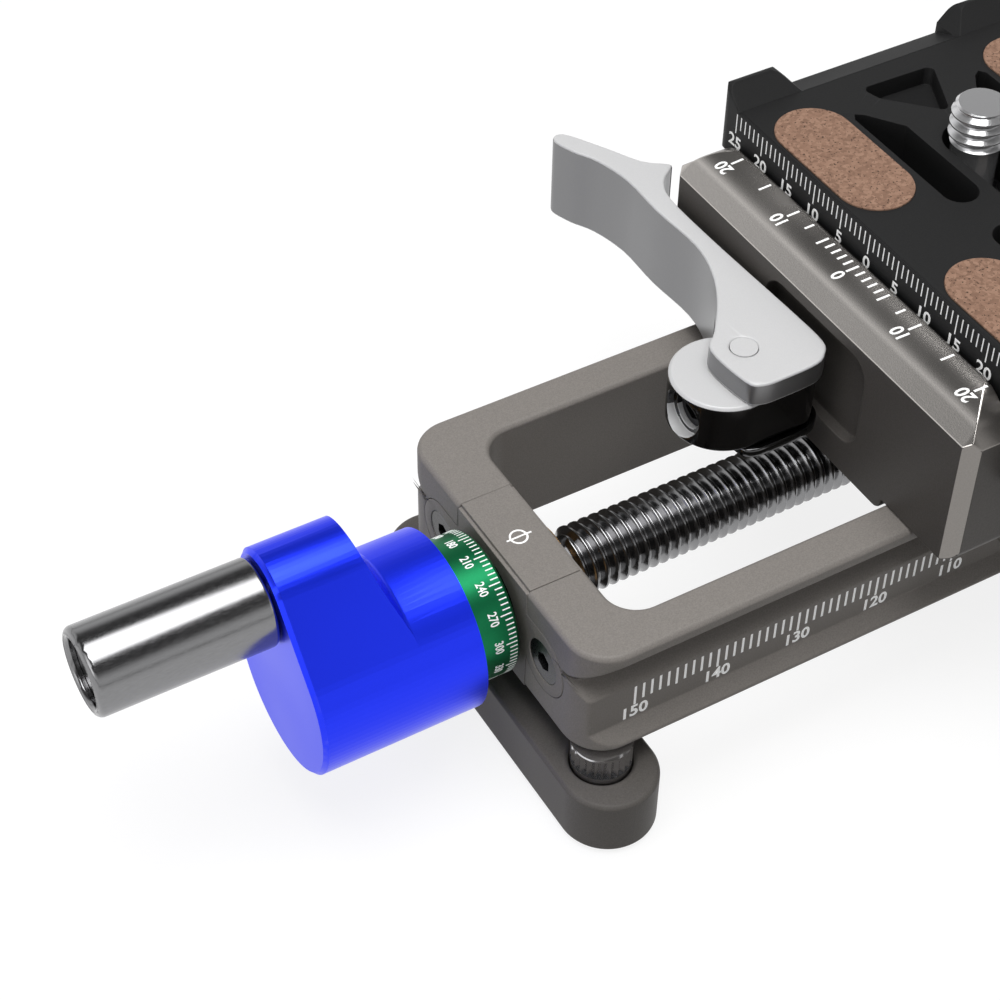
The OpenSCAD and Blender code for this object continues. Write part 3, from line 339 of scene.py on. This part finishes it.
# %% Cork
cork = new_finish("pressed_cork", Base_Color=(0.31, 0.165, 0.09), Roughness=0.85)
place = node(cork, "ShaderNodeTexCoord")
granules = node(cork, "ShaderNodeTexVoronoi")
granules.inputs["Scale"].default_value = 2.6 / MM
wire(cork, place.outputs["Object"], granules.inputs["Vector"])
granule_tone = node(cork, "ShaderNodeSeparateColor")
wire(cork, granules.outputs["Color"], granule_tone.inputs["Color"])
brown = ramp(cork, granule_tone.outputs["Red"], [
    (0.0, (0.19, 0.105, 0.068)), (0.5, (0.25, 0.142, 0.094)), (1.0, (0.31, 0.185, 0.125))])
specks = ramp(cork, grain(cork, 3.4, 3.0), [(0.335, (0.16, 0.12, 0.1)), (0.39, (1, 1, 1))])
mixed = node(cork, "ShaderNodeMix", data_type="RGBA", blend_type="MULTIPLY")
mixed.inputs["Factor"].default_value = 1
wire(cork, brown, mixed.inputs["A"])
wire(cork, specks, mixed.inputs["B"])
wire(cork, mixed.outputs["Result"], shader_of(cork).inputs["Base Color"])
bump(cork, granules.outputs["Distance"], 0.5, 0.05)
print("cork has", len(cork.node_tree.nodes), "nodes")

# %% [markdown]
# The CAD nodes have sharp edges, and real ones are broken, which is what catches the light.
# A copy of the node is merged, its flat faces are dissolved into one each, and a narrow Bevel
# modifier rounds every edge. Weighted normals then keep the broad faces flat. The alternative, a
# bevel in the shader, would only change the shading and leave the mesh itself sharp.

# %% Breaking the edges
EDGE_ANGLE, BARE_ANGLE, FLAT_ANGLE = (math.radians(a) for a in (28, 12, 0.6))
CAD_MERGE, BEVEL_MERGE = 0.002, 0.02
BEVEL_STEPS = 2


def softened(name, width, finish):
    """A copy of a CAD node with its edges broken by width, in millimetres."""
    source = frame["nodes"][name]
    piece = source.copy()
    piece.data = source.data.copy()
    bpy.context.scene.collection.objects.link(piece)
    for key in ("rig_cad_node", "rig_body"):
        del piece[key]
    piece.parent = None
    piece.matrix_world = Matrix.Identity(4)
    piece.name = piece.data.name = name + "_soft"
    open_mesh(piece, CAD_MERGE)
    bpy.ops.mesh.dissolve_limited(angle_limit=FLAT_ANGLE)
    close_mesh()
    if width:
        with_modifier(piece, "BEVEL", width=width * MM, segments=BEVEL_STEPS,
                      limit_method="ANGLE", angle_limit=EDGE_ANGLE, use_clamp_overlap=False)
    open_mesh(piece, BEVEL_MERGE)
    bpy.ops.mesh.quads_convert_to_tris(quad_method="BEAUTY", ngon_method="BEAUTY")
    close_mesh()
    bpy.ops.object.shade_smooth_by_angle(angle=EDGE_ANGLE if width else BARE_ANGLE)
    with_modifier(piece, "WEIGHTED_NORMAL", mode="FACE_AREA", keep_sharp=True)
    dressed(piece, finish)
    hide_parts(name)
    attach(piece, source["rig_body"])
    return piece


print("edges sharper than", round(math.degrees(EDGE_ANGLE)), "degrees will be broken")

# %% [markdown]
# Each piece says how far its edges are broken. The knob's CAD mesh has its roundings already,
# so it is only shaded smooth.

# %% Pieces with broken edges
SOFT = {
    "rail_frame": (0.18, grey), "front_bearing_block": (0.1, grey),
    "clamp_body": (0.15, clamp_grey), "near_gib": (0.15, grey), "far_gib": (0.15, grey),
    "nut_block": (0.15, grey), "far_jaw": (0.15, clamp_grey),
    "front_foot_bar": (0.15, foot_painted_shade), "rear_foot_bar": (0.15, foot_painted_shade),
    "rear_end_cap": (0.1, grey), "crank_knob": (0, blue), "dial_ring": (0.08, green),
    "handle_grip": (0.2, handle_steel), "camera_plate": (0.06, black),
    "cam_lever": (0.25, silver), "trunnion_block": (0.1, painted_shade_polish), "cork_pads": (0.08, cork),
}
soft = {part: softened(part, width, finish) for part, (width, finish) in SOFT.items()}
for made in soft.values():
    print(made.name, len(made.data.polygons), "faces")

# %% [markdown]
# Some pieces differ from face to face, and these second finishes are painted light and shade. The
# clamp's lip takes a lighter, glossier grey where it faces up, which is painted light; its cut
# corners take a middle grey, a painted highlight, which on the lip's end slopes is painted shade.
# The trunnion's upward faces take satin silver over a black polish, which is painted shade on its
# sides. The lever's sides take a darker copy of its silver, painted shade, and the ear under it is
# black, also painted shade.
# A face takes the second finish by where it is and by which way it looks, so no seam has to be
# drawn by hand.

# %% Second finishes
LIP_FOOT, EAR_TOP, EAR_END, EAR_HALF = 29.95, 18.6, -60, 9
LEVEL, STEEP, SLANTED, LEANING = 0.1, 0.25, 0.5, 0.3


def second_finish(piece, finish, wanted):
    """Gives another finish to the faces whose centre (mm) and normal are wanted."""
    piece.data.materials.append(finish)
    slot = len(piece.data.materials) - 1
    count = 0
    for face in piece.data.polygons:
        if wanted(face.center / MM, face.normal):
            face.material_index = slot
            count += 1
    print(piece.name, "has", count, "faces in", finish.name)


def on_lip(at, normal):
    return at.z > LIP_FOOT and normal.z > LEVEL


def on_corner(at, normal):
    """An upright chamfer, or a slope at an end of the lip."""
    if abs(normal.x) > SLANTED and abs(normal.y) > SLANTED and abs(normal.z) < LEVEL:
        return True
    return on_lip(at, normal) and abs(normal.y) > LEANING


def on_ear(at, normal):
    return at.z < EAR_TOP and at.x > EAR_END and abs(at.y) < EAR_HALF


# The lip's upward faces take painted light, and its cut corners a painted highlight.
for part in ("clamp_body", "far_jaw"):
    second_finish(soft[part], lip_painted_light, on_lip)
    second_finish(soft[part], corner_painted_light, on_corner)
# The trunnion's upward faces take satin silver; its sides keep the black polish, which is painted
# shade.
second_finish(soft["trunnion_block"], silver, lambda at, normal: normal.z > LEANING)
# The lever's upright sides take the darker silver, which is painted shade.
second_finish(soft["cam_lever"], painted_shade_silver, lambda at, normal: abs(normal.z) < STEEP)
# The lever's lower ear, under the lever, takes the black polish: painted shade.
second_finish(soft["cam_lever"], painted_shade_polish, on_ear)

# %% [markdown]
# The small parts keep the CAD mesh, since their edges are too fine to be seen broken.

# %% Plain pieces
PLAIN = {
    "block_screws": black_steel, "front_bearing": steel, "rear_bearing": steel,
    "thrust_washer": bronze, "shaft_spacer": black_steel, "knob_set_screw": black_steel,
    "handle_shoulder_screw": handle_steel, "gib_screws": black_steel,
    "nut_block_screws": black_steel, "drive_nut": bronze, "nut_set_screw": black_steel,
    "jaw_guide_pins": steel, "tension_bolt": black_steel, "bolt_collar": chrome,
    "trunnion_screw": black_steel, "lever_pin": silver, "screw_collar": black_steel,
    "front_foot_post": chrome, "front_foot_screw": black_steel, "front_foot_pad": rubber,
    "rear_foot_post": chrome, "rear_foot_screw": black_steel, "rear_foot_pad": rubber,
    "lead_screw": steel, "camera_screw": screw_steel,
}
for part, finish in PLAIN.items():
    dressed(frame["nodes"][part], finish)
print(len(PLAIN), "plain pieces have a finish")

# %% [markdown]
# A turned piece starts as one vertex. It is extruded along half of the outline, and a Screw
# modifier carries that outline around the axis. With an offset for each turn the same modifier
# winds a thread, which a bump pattern could only hint at: its crests show in the outline.

# %% Turning and threading
CREST_SHARE, ROOT_SHARE, ROUND_SHARE, ROUND_DEPTH = 0.14, 0.12, 0.12, 0.6
THREAD_MERGE = 0.001


def outline(name, points):
    """An open line of vertices, in millimetres, extruded point by point."""
    bpy.ops.mesh.primitive_plane_add(size=0.001, location=(0, 0, 0))
    line = bpy.context.object
    line.name = line.data.name = name
    bpy.ops.object.mode_set(mode="EDIT")
    bpy.ops.mesh.select_mode(type="VERT")
    bpy.ops.mesh.merge(type="CENTER")
    bpy.ops.transform.translate(value=Vector(points[0]) * MM)
    for start, end in zip(points, points[1:]):
        step = (Vector(end) - Vector(start)) * MM
        bpy.ops.mesh.extrude_vertices_move(TRANSFORM_OT_translate={"value": step})
    close_mesh()
    return settle(line)


def swept(name, axis, profile, sides, turns=1, pitch=0.0):
    """Carries a profile of (along, radius) around an axis, advancing by pitch a turn."""
    points = [(a, 0, r) if axis == "X" else (r, 0, a) for a, r in profile]
    return with_modifier(outline(name, points), "SCREW", axis=axis, screw_offset=pitch * MM,
                         iterations=turns, steps=sides, render_steps=sides,
                         use_merge_vertices=True, merge_threshold=HAIR * MM)


def turned(name, profile, axis="X", sides=64):
    """Spins a profile of (along, radius) once around its axis."""
    piece = swept(name, axis, profile, sides)
    open_mesh(piece, HAIR)
    bpy.ops.mesh.normals_make_consistent(inside=False)
    close_mesh()
    return piece


def thread(name, axis, start, turns, pitch, major, minor, sides=40):
    """A right-hand thread, closed at both ends: one pitch of its profile, wound up."""
    crest, root = pitch * CREST_SHARE, pitch * ROOT_SHARE
    slope = (pitch - crest - root) / 2
    ease, rise = slope * ROUND_SHARE, (major - minor) * ROUND_SHARE * ROUND_DEPTH
    top = root + slope
    steps = [(0, minor), (root, minor), (root + ease, minor + rise), (top - ease, major - rise),
             (top, major), (top + crest, major), (top + crest + ease, major - rise),
             (pitch - ease, minor + rise), (pitch, minor)]
    line = swept(name, axis, [(start + along, radius) for along, radius in steps], sides, turns,
                 pitch)
    open_mesh(line, THREAD_MERGE)
    bpy.ops.mesh.select_all(action="DESELECT")
    bpy.ops.mesh.select_mode(type="EDGE")
    bpy.ops.mesh.select_non_manifold()
    bpy.ops.mesh.edge_face_add()
    bpy.ops.mesh.select_all(action="SELECT")
    bpy.ops.mesh.normals_make_consistent(inside=False)
    close_mesh()
    return line


print("a thread's crest takes", CREST_SHARE, "of its pitch")

# %% [markdown]
# The lead screw is a turned core with plain journals at both ends and a thread between them.
# The two overlap a little, so they need no boolean.

# %% Lead screw
AXIS_Z = 7.17
LEAD_PROFILE = [
    (-100.5, 0), (-100.5, 2.8), (-100.3, 3), (-74.1, 3), (-74.1, 3.3), (-72.9, 3.3), (-72.7, 3.1),
    (73.0, 3.1), (73.3, 3.3), (74.85, 3.3), (74.85, 3), (78.9, 3), (79.1, 2.8), (79.1, 0)]
lead_thread = thread("lead_thread", "X", start=-73.1, turns=117, pitch=1.25, major=3.9,
                     minor=3.12)
lead_core = turned("lead_core", LEAD_PROFILE)
lead = joined("lead_screw_threaded", [lead_core, lead_thread])
lead.location = (0, 0, AXIS_Z * MM)
settle(lead)
print("lead screw:", len(lead.data.polygons), "faces")

# %% [markdown]
# The camera screw's thread is wound longer than it has to be. A turned envelope with a flat,
# chamfered tip then keeps only what lies inside it, and a six-sided bar cuts the socket.

# %% Camera screw
SCREW_X, SCREW_Y = -18.6, 7.13
SCREW_R, SCREW_TIP, THREAD_START, SCREW_SEAT = 3.175, 42.44, 37.64, 30.2
HEAD_R, HEAD_BOTTOM, HEAD_EDGE, NECK_R, NECK_LAP = 6, 27.4, 0.2, 2.6, 0.6
SOCKET_R, SOCKET_DEPTH, SOCKET_MIDDLE = 2.5 / math.cos(math.pi / 6), 4, 27.36


def boolean(piece, tool, operation):
    """Cuts or trims a piece by a tool, which is then removed."""
    with_modifier(piece, "BOOLEAN", object=tool, operation=operation, solver="EXACT")
    bpy.data.objects.remove(tool, do_unlink=True)
    return piece


camera_thread = thread("camera_thread", "Z", start=36.2, turns=6, pitch=1.27, major=SCREW_R,
                       minor=2.55, sides=48)
envelope = turned("envelope", [
    (THREAD_START, 0), (THREAD_START, 2.75), (THREAD_START + 0.45, SCREW_R),
    (SCREW_TIP - 0.6, SCREW_R), (SCREW_TIP - 0.05, 2.62), (SCREW_TIP, 2.57), (SCREW_TIP, 0)], "Z")
boolean(camera_thread, envelope, "INTERSECT")
shank = turned("camera_shank", [
    (HEAD_BOTTOM, 0), (HEAD_BOTTOM, HEAD_R - HEAD_EDGE), (HEAD_BOTTOM + HEAD_EDGE, HEAD_R),
    (SCREW_SEAT - HEAD_EDGE, HEAD_R), (SCREW_SEAT, HEAD_R - HEAD_EDGE), (SCREW_SEAT, NECK_R),
    (THREAD_START + NECK_LAP, NECK_R), (THREAD_START + NECK_LAP, 0)], "Z")
bpy.ops.mesh.primitive_cylinder_add(vertices=6, radius=SOCKET_R * MM, depth=SOCKET_DEPTH * MM,
                                    location=(0, 0, SOCKET_MIDDLE * MM))
boolean(shank, settle(bpy.context.object), "DIFFERENCE")
mount_screw = joined("camera_screw_threaded", [shank, camera_thread])
mount_screw.location = (SCREW_X * MM, SCREW_Y * MM, 0)
settle(mount_screw)
print("camera screw:", len(mount_screw.data.polygons), "faces")

# %% [markdown]
# The threaded screws stand for the CAD ones, so each rides on its own body. Their crests are
# left sharp in the shading and their round sides are smooth, which the angle decides.

# %% Screws in place
for threaded, part, finish, angle in ((lead, "lead_screw", steel, 50),
                                      (mount_screw, "camera_screw", screw_steel, 30)):
    dressed(threaded, finish)
    pick(threaded)
    bpy.ops.object.shade_smooth_by_angle(angle=math.radians(angle))
    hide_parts(part)
    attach(threaded, frame["nodes"][part]["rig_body"])
    print(threaded.name, "stands for", part)

# %% [markdown]
# The scales are white paint, which has a thickness. Each line is a thin block and each number
# a Text object made a mesh, half sunk in the metal, so they stand two hundredths of a
# millimetre proud of it. A picture on the surface would blur close up.

# %% Lines and numbers
PAINT = 0.02
CAP_SHARE, CURVE_STEPS = 0.72, 3


def painted_line(length, width):
    """A thin block lying flat, long in Y."""
    bpy.ops.mesh.primitive_cube_add(size=1)
    line = bpy.context.object
    line.scale = (width * MM, length * MM, 2 * PAINT * MM)
    return settle(line)


def painted_number(words, height, bold):
    """A number lying flat, reading along X, centred on the origin."""
    bpy.ops.object.text_add()
    text = bpy.context.object
    text.data.body = words
    text.data.size = height / CAP_SHARE * MM
    text.data.align_x, text.data.align_y = "CENTER", "CENTER"
    text.data.extrude = PAINT * MM
    text.data.offset = bold * MM
    text.data.resolution_u = CURVE_STEPS
    pick(text)
    bpy.ops.object.convert(target="MESH")
    piece = settle(bpy.context.object)
    open_mesh(piece, HAIR)
    close_mesh()
    return piece


def placed(piece, matrix):
    piece.data.transform(matrix)
    return piece


def facing(origin, reading, up):
    """The matrix that lays a flat mark at origin (mm), reading one way, its top another."""
    reading, up = Vector(reading).normalized(), Vector(up).normalized()
    turn = Matrix((reading, up, reading.cross(up))).transposed().to_4x4()
    return Matrix.Translation(Vector(origin) * MM) @ turn


def scale_piece(name, marks, body):
    """Joins marks into one painted piece that rides on a body."""
    piece = dressed(joined(name, marks), paint)
    print(name, "has", len(marks), "marks and", len(piece.data.polygons), "faces")
    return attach(piece, body)


# %% [markdown]
# The rail's millimetres run from 150 at the knob's end down to 0. Every fifth line is longer,
# and every tenth is the longest and has its number below it.

# %% Rail scale
SCALE_FACE, SCALE_ZERO, SCALE_LENGTH = -17.57, 75, 150
TICK_TOP, NUMBER_Z = 7.04, 3.3
TENTH_BOTTOM, FIFTH_BOTTOM, TICK_BOTTOM = 4.34, 4.6, 4.84


def on_rail(mark, mm, z):
    """Lays a mark on the rail's near face, at a reading and a height."""
    return placed(mark, facing((SCALE_ZERO - mm, SCALE_FACE, z), (1, 0, 0), (0, 0, 1)))


marks = []
for mm in range(SCALE_LENGTH + 1):
    bottom = TENTH_BOTTOM if mm % 10 == 0 else FIFTH_BOTTOM if mm % 5 == 0 else TICK_BOTTOM
    marks.append(on_rail(painted_line(TICK_TOP - bottom, 0.27), mm, (TICK_TOP + bottom) / 2))
    if mm % 10 == 0:
        marks.append(on_rail(painted_number(str(mm), 1.6, 0.05), mm, NUMBER_Z))
scale_piece("rail_scale", marks, "rail")

# %% [markdown]
# The clamp's scale lies on the curved lip. Its marks are made flat with a few cuts across
# them, so that they can bend. Their places were read off the picture as if the lip were flat,
# so every vertex slides along the line of sight until it meets the curve.

# %% Clamp scale
LIP_FRONT, LIP_RUN, LIP_START, LIP_RISE = -41.8, 3.7, 31.39, 2.4
LIP_PULL_X, LIP_PULL_Z, LIP_STEPS = 0.42, 0.85, 200
LIP_UNIT, LIP_BACK, LIP_NUMBERS, LIP_FLAT = 1.035, -38.62, -40.92, 33.62
SIGHT, SIGHT_STEPS = (0.508, 0.853), 6
LONG_MARK, SHORT_MARK = 1.46, 1.1


def lip_height(x):
    """The height of the lip's curve at x, found by walking along the curve."""
    near = min((t / LIP_STEPS for t in range(LIP_STEPS + 1)),
               key=lambda t: abs(LIP_FRONT + LIP_RUN * (2 * t * (1 - t) * LIP_PULL_X + t * t) - x))
    return LIP_START + LIP_RISE * (2 * near * (1 - near) * LIP_PULL_Z + near * near)


def laid_on_lip(piece, centre_x, centre_y, cuts):
    """Lays a mark on the lip: it reads along +Y and its top points to the knob."""
    open_mesh(piece)
    bpy.ops.mesh.subdivide(number_cuts=cuts)
    close_mesh()
    for vertex in piece.data.vertices:
        along, up, out = vertex.co / MM
        flat_x, flat_y = centre_x - up, centre_y + along
        x = flat_x
        for _ in range(SIGHT_STEPS):
            drop = LIP_FLAT - lip_height(x)
            x = flat_x + SIGHT[0] * drop
        vertex.co = Vector((x, flat_y + SIGHT[1] * drop, lip_height(x) + out)) * MM
    return piece


marks = []
for unit in (0, 1, 2, 3, 4, 5, 7.5, 10, 15, 20):
    for side in ((1,) if unit == 0 else (-1, 1)):
        length = LONG_MARK if unit % 5 == 0 else SHORT_MARK
        y = side * unit * LIP_UNIT
        marks.append(laid_on_lip(painted_line(length, 0.26), LIP_BACK - length / 2, y, 3))
        if unit % 10 == 0:
            marks.append(laid_on_lip(painted_number(str(unit), 1.4, 0.04), LIP_NUMBERS, y, 2))
scale_piece("clamp_scale", marks, "carriage")

# %% [markdown]
# The plate's scale counts outwards from its middle, with a number at every sixth line. Its
# face looks at the knob, so the numbers read towards -Y.

# %% Plate scale
PLATE_X, PLATE_ZERO, PLATE_UNIT = -37.6, 0.13, 0.788
PLATE_TICK_TOP, PLATE_NUMBERS, PLATE_TICKS, WIDENED = 37.15, 33.6, 30, 1.15


def on_plate(mark, y, z):
    return placed(mark, facing((PLATE_X, y, z), (0, -1, 0), (0, 0, 1)))


marks = []
for tick in range(-PLATE_TICKS, PLATE_TICKS + 1):
    y = PLATE_ZERO + tick * PLATE_UNIT
    long = tick % 6 == 0
    height = 2.4 if long else 1.65
    marks.append(on_plate(painted_line(height, 0.15), y, PLATE_TICK_TOP - height / 2))
    if long:
        number = painted_number(str(abs(tick) // 6 * 5), 1.45, 0.035)
        placed(number, Matrix.Diagonal((WIDENED, 1, 1, 1)))
        marks.append(on_plate(number, y, PLATE_NUMBERS))
scale_piece("plate_scale", marks, "plate")

# %% [markdown]
# The dial's numbers wrap around a cylinder. Each is made flat, then every vertex is turned
# about the screw's axis by its distance along the reading line.

# %% Dial scale
DIAL_R, DIAL_EDGE, DIAL_GAP, DIAL_NUMBERS = 7.8, -82.5, 0.4, 2.5
DIAL_FIRST, DIAL_STEP, DIAL_TICKS, NARROWED = 160.7, 4.0, 90, 0.72


def wrapped(piece, x_of_top, angle):
    """Bends a flat mark around the screw's axis: its top points to +X and it reads around."""
    for vertex in piece.data.vertices:
        along, up, out = vertex.co / MM
        turn = math.radians(angle) - along / DIAL_R
        r = DIAL_R + out
        place = (x_of_top + up, r * math.sin(turn), AXIS_Z + r * math.cos(turn))
        vertex.co = Vector(place) * MM
    return piece


marks = []
for step in range(DIAL_TICKS):
    turn = DIAL_FIRST - step * DIAL_STEP
    long = step % 6 == 0
    length = 1.25 if long else 0.85
    marks.append(wrapped(painted_line(length, 0.13), DIAL_EDGE - DIAL_GAP - length / 2, turn))
    if long:
        number = painted_number(str(step * 5), 1.0, 0.02)
        placed(number, Matrix.Diagonal((NARROWED, 1, 1, 1)))
        marks.append(wrapped(number, DIAL_EDGE - DIAL_NUMBERS, turn))
scale_piece("dial_scale", marks, "screw")

# %% [markdown]
# A ring with a line through it on the bearing block is what the dial is read against.

# %% Index mark
INDEX_PLACE, RING_PLACE = (-78.3, 0, 14.34), (-78.34, 0, 14.35)
bpy.ops.mesh.primitive_torus_add(major_radius=0.9 * MM, minor_radius=0.11 * MM,
                                 major_segments=48, minor_segments=6)
ring = bpy.context.object
ring.scale = (1, 1, 0.2)
settle(ring)
placed(ring, Matrix.Translation(Vector(RING_PLACE) * MM))
line = placed(painted_line(2.9, 0.2), facing(INDEX_PLACE, (0, 1, 0), (-1, 0, 0)))
scale_piece("index_mark", [ring, line], "rail")

# %% [markdown]
# The camera sees the world as white. Dull surfaces get a dim glow from it, stronger from
# above. A polished part mirrors what surrounds it, so for glossy rays the world is bright up
# to the horizon, dimmer along it, bright in a band above it and dark higher up, which draws
# the dark stripes seen on the handle and the screw.

# %% World
world = bpy.data.worlds.new("studio")
bpy.context.scene.world = world
world.use_nodes = True
GLOW = [(0.0, 0.12), (0.45, 0.1), (0.55, 0.1), (1.0, 0.45)]
SHINE = [(0.0, 0.9), (0.49, 0.9), (0.53, 0.45), (0.58, 0.95), (0.64, 0.95), (0.7, 0.75),
         (0.78, 0.14), (0.9, 0.06), (1.0, 0.3)]
WHITE = (1, 1, 1, 1)


def largest(owner, outputs):
    """The largest of several values, as one output."""
    result = outputs[0]
    for output in outputs[1:]:
        step = node(owner, "ShaderNodeMath", operation="MAXIMUM")
        wire(owner, result, step.inputs[0])
        wire(owner, output, step.inputs[1])
        result = step.outputs["Value"]
    return result


def tone_by_height(owner, stops):
    """A grey that depends on how high a ray points, from straight down (0) to straight up (1)."""
    direction = node(owner, "ShaderNodeTexCoord")
    split = node(owner, "ShaderNodeSeparateXYZ")
    wire(owner, direction.outputs["Generated"], split.inputs["Vector"])
    height = node(owner, "ShaderNodeMapRange")
    height.inputs["From Min"].default_value = -1
    wire(owner, split.outputs["Z"], height.inputs["Value"])
    return ramp(owner, height.outputs["Result"], [(at, (tone,) * 3) for at, tone in stops])


def mixed_colour(owner, factor, first, second):
    """The first colour where the factor is 0 and the second where it is 1."""
    made = node(owner, "ShaderNodeMix", data_type="RGBA")
    wire(owner, factor, made.inputs["Factor"])
    for source, socket in ((first, made.inputs["A"]), (second, made.inputs["B"])):
        if isinstance(source, tuple):
            socket.default_value = source
        else:
            wire(owner, source, socket)
    return made.outputs["Result"]


paths = node(world, "ShaderNodeLightPath")
mirrored = largest(world, [paths.outputs[ray] for ray in ("Is Glossy Ray", "Is Transmission Ray")])
lit = mixed_colour(world, mirrored, tone_by_height(world, GLOW), tone_by_height(world, SHINE))
seen = mixed_colour(world, paths.outputs["Is Camera Ray"], lit, WHITE)
wire(world, seen, world.node_tree.nodes["Background"].inputs["Color"])
print("the world has", len(world.node_tree.nodes), "nodes")

# %% [markdown]
# One large soft lamp hangs above the rail. A weaker one at the knob's end and a faint one on
# the near side keep the upright faces from going flat.

# %% Lamps
AIM = (-40, 0, 15)


def lamp(name, place, size, power):
    """A square soft lamp at place, in millimetres, pointed at the clamp."""
    bpy.ops.object.light_add(type="AREA", location=Vector(place) * MM)
    light = bpy.context.object
    light.name = name
    light.data.size = size * MM
    light.data.energy = power
    toward = (Vector(AIM) - Vector(place)).normalized()
    light.rotation_euler = toward.to_track_quat("-Z", "Y").to_euler()
    print(name, "gives", power, "W")


lamp("key_lamp", (-90, -30, 460), 340, 1.95)
lamp("knob_lamp", (-420, -60, 160), 200, 0.2)
lamp("side_lamp", (160, -380, 200), 220, 0.06)

# %% [markdown]
# The floor is pale and plain. For the camera and for mirrors it is mostly its own light, so
# that it stays white, and the rest takes the object's shadow. To all other rays it is a dark
# grey, so that it throws little light up at the rail.

# %% Floor
FLOOR_SIZE, FLOOR_GLOW, GLOW_SHARE = 6, 1.05, 0.8
DARK_FLOOR, PALE_FLOOR = (0.15, 0.15, 0.15, 1), (0.92, 0.92, 0.92, 1)
bpy.ops.mesh.primitive_plane_add(size=FLOOR_SIZE, location=(0, 0, cad_low.z))
floor = bpy.context.object
floor.name = "floor"
sheet = new_finish("pale_floor", Roughness=0.9)
own_light = node(sheet, "ShaderNodeEmission")
own_light.inputs["Strength"].default_value = FLOOR_GLOW
paths = node(sheet, "ShaderNodeLightPath")
seen_by = largest(sheet, [paths.outputs[ray] for ray in
                          ("Is Camera Ray", "Is Glossy Ray", "Is Transmission Ray")])
share = node(sheet, "ShaderNodeMath", operation="MULTIPLY")
share.inputs[1].default_value = GLOW_SHARE
wire(sheet, seen_by, share.inputs[0])
tint = mixed_colour(sheet, seen_by, DARK_FLOOR, PALE_FLOOR)
wire(sheet, tint, shader_of(sheet).inputs["Base Color"])
blend = node(sheet, "ShaderNodeMixShader")
wire(sheet, share.outputs["Value"], blend.inputs["Fac"])
wire(sheet, shader_of(sheet).outputs["BSDF"], blend.inputs[1])
wire(sheet, own_light.outputs["Emission"], blend.inputs[2])
output = sheet.node_tree.nodes["Material Output"]
wire(sheet, blend.outputs["Shader"], output.inputs["Surface"])
floor.data.materials.append(sheet)
print("the floor lies at", round(cad_low.z / MM, 2), "mm")

# %% [markdown]
# The Standard view keeps white as white.

# %% Finish
bpy.context.scene.view_settings.view_transform = "Standard"
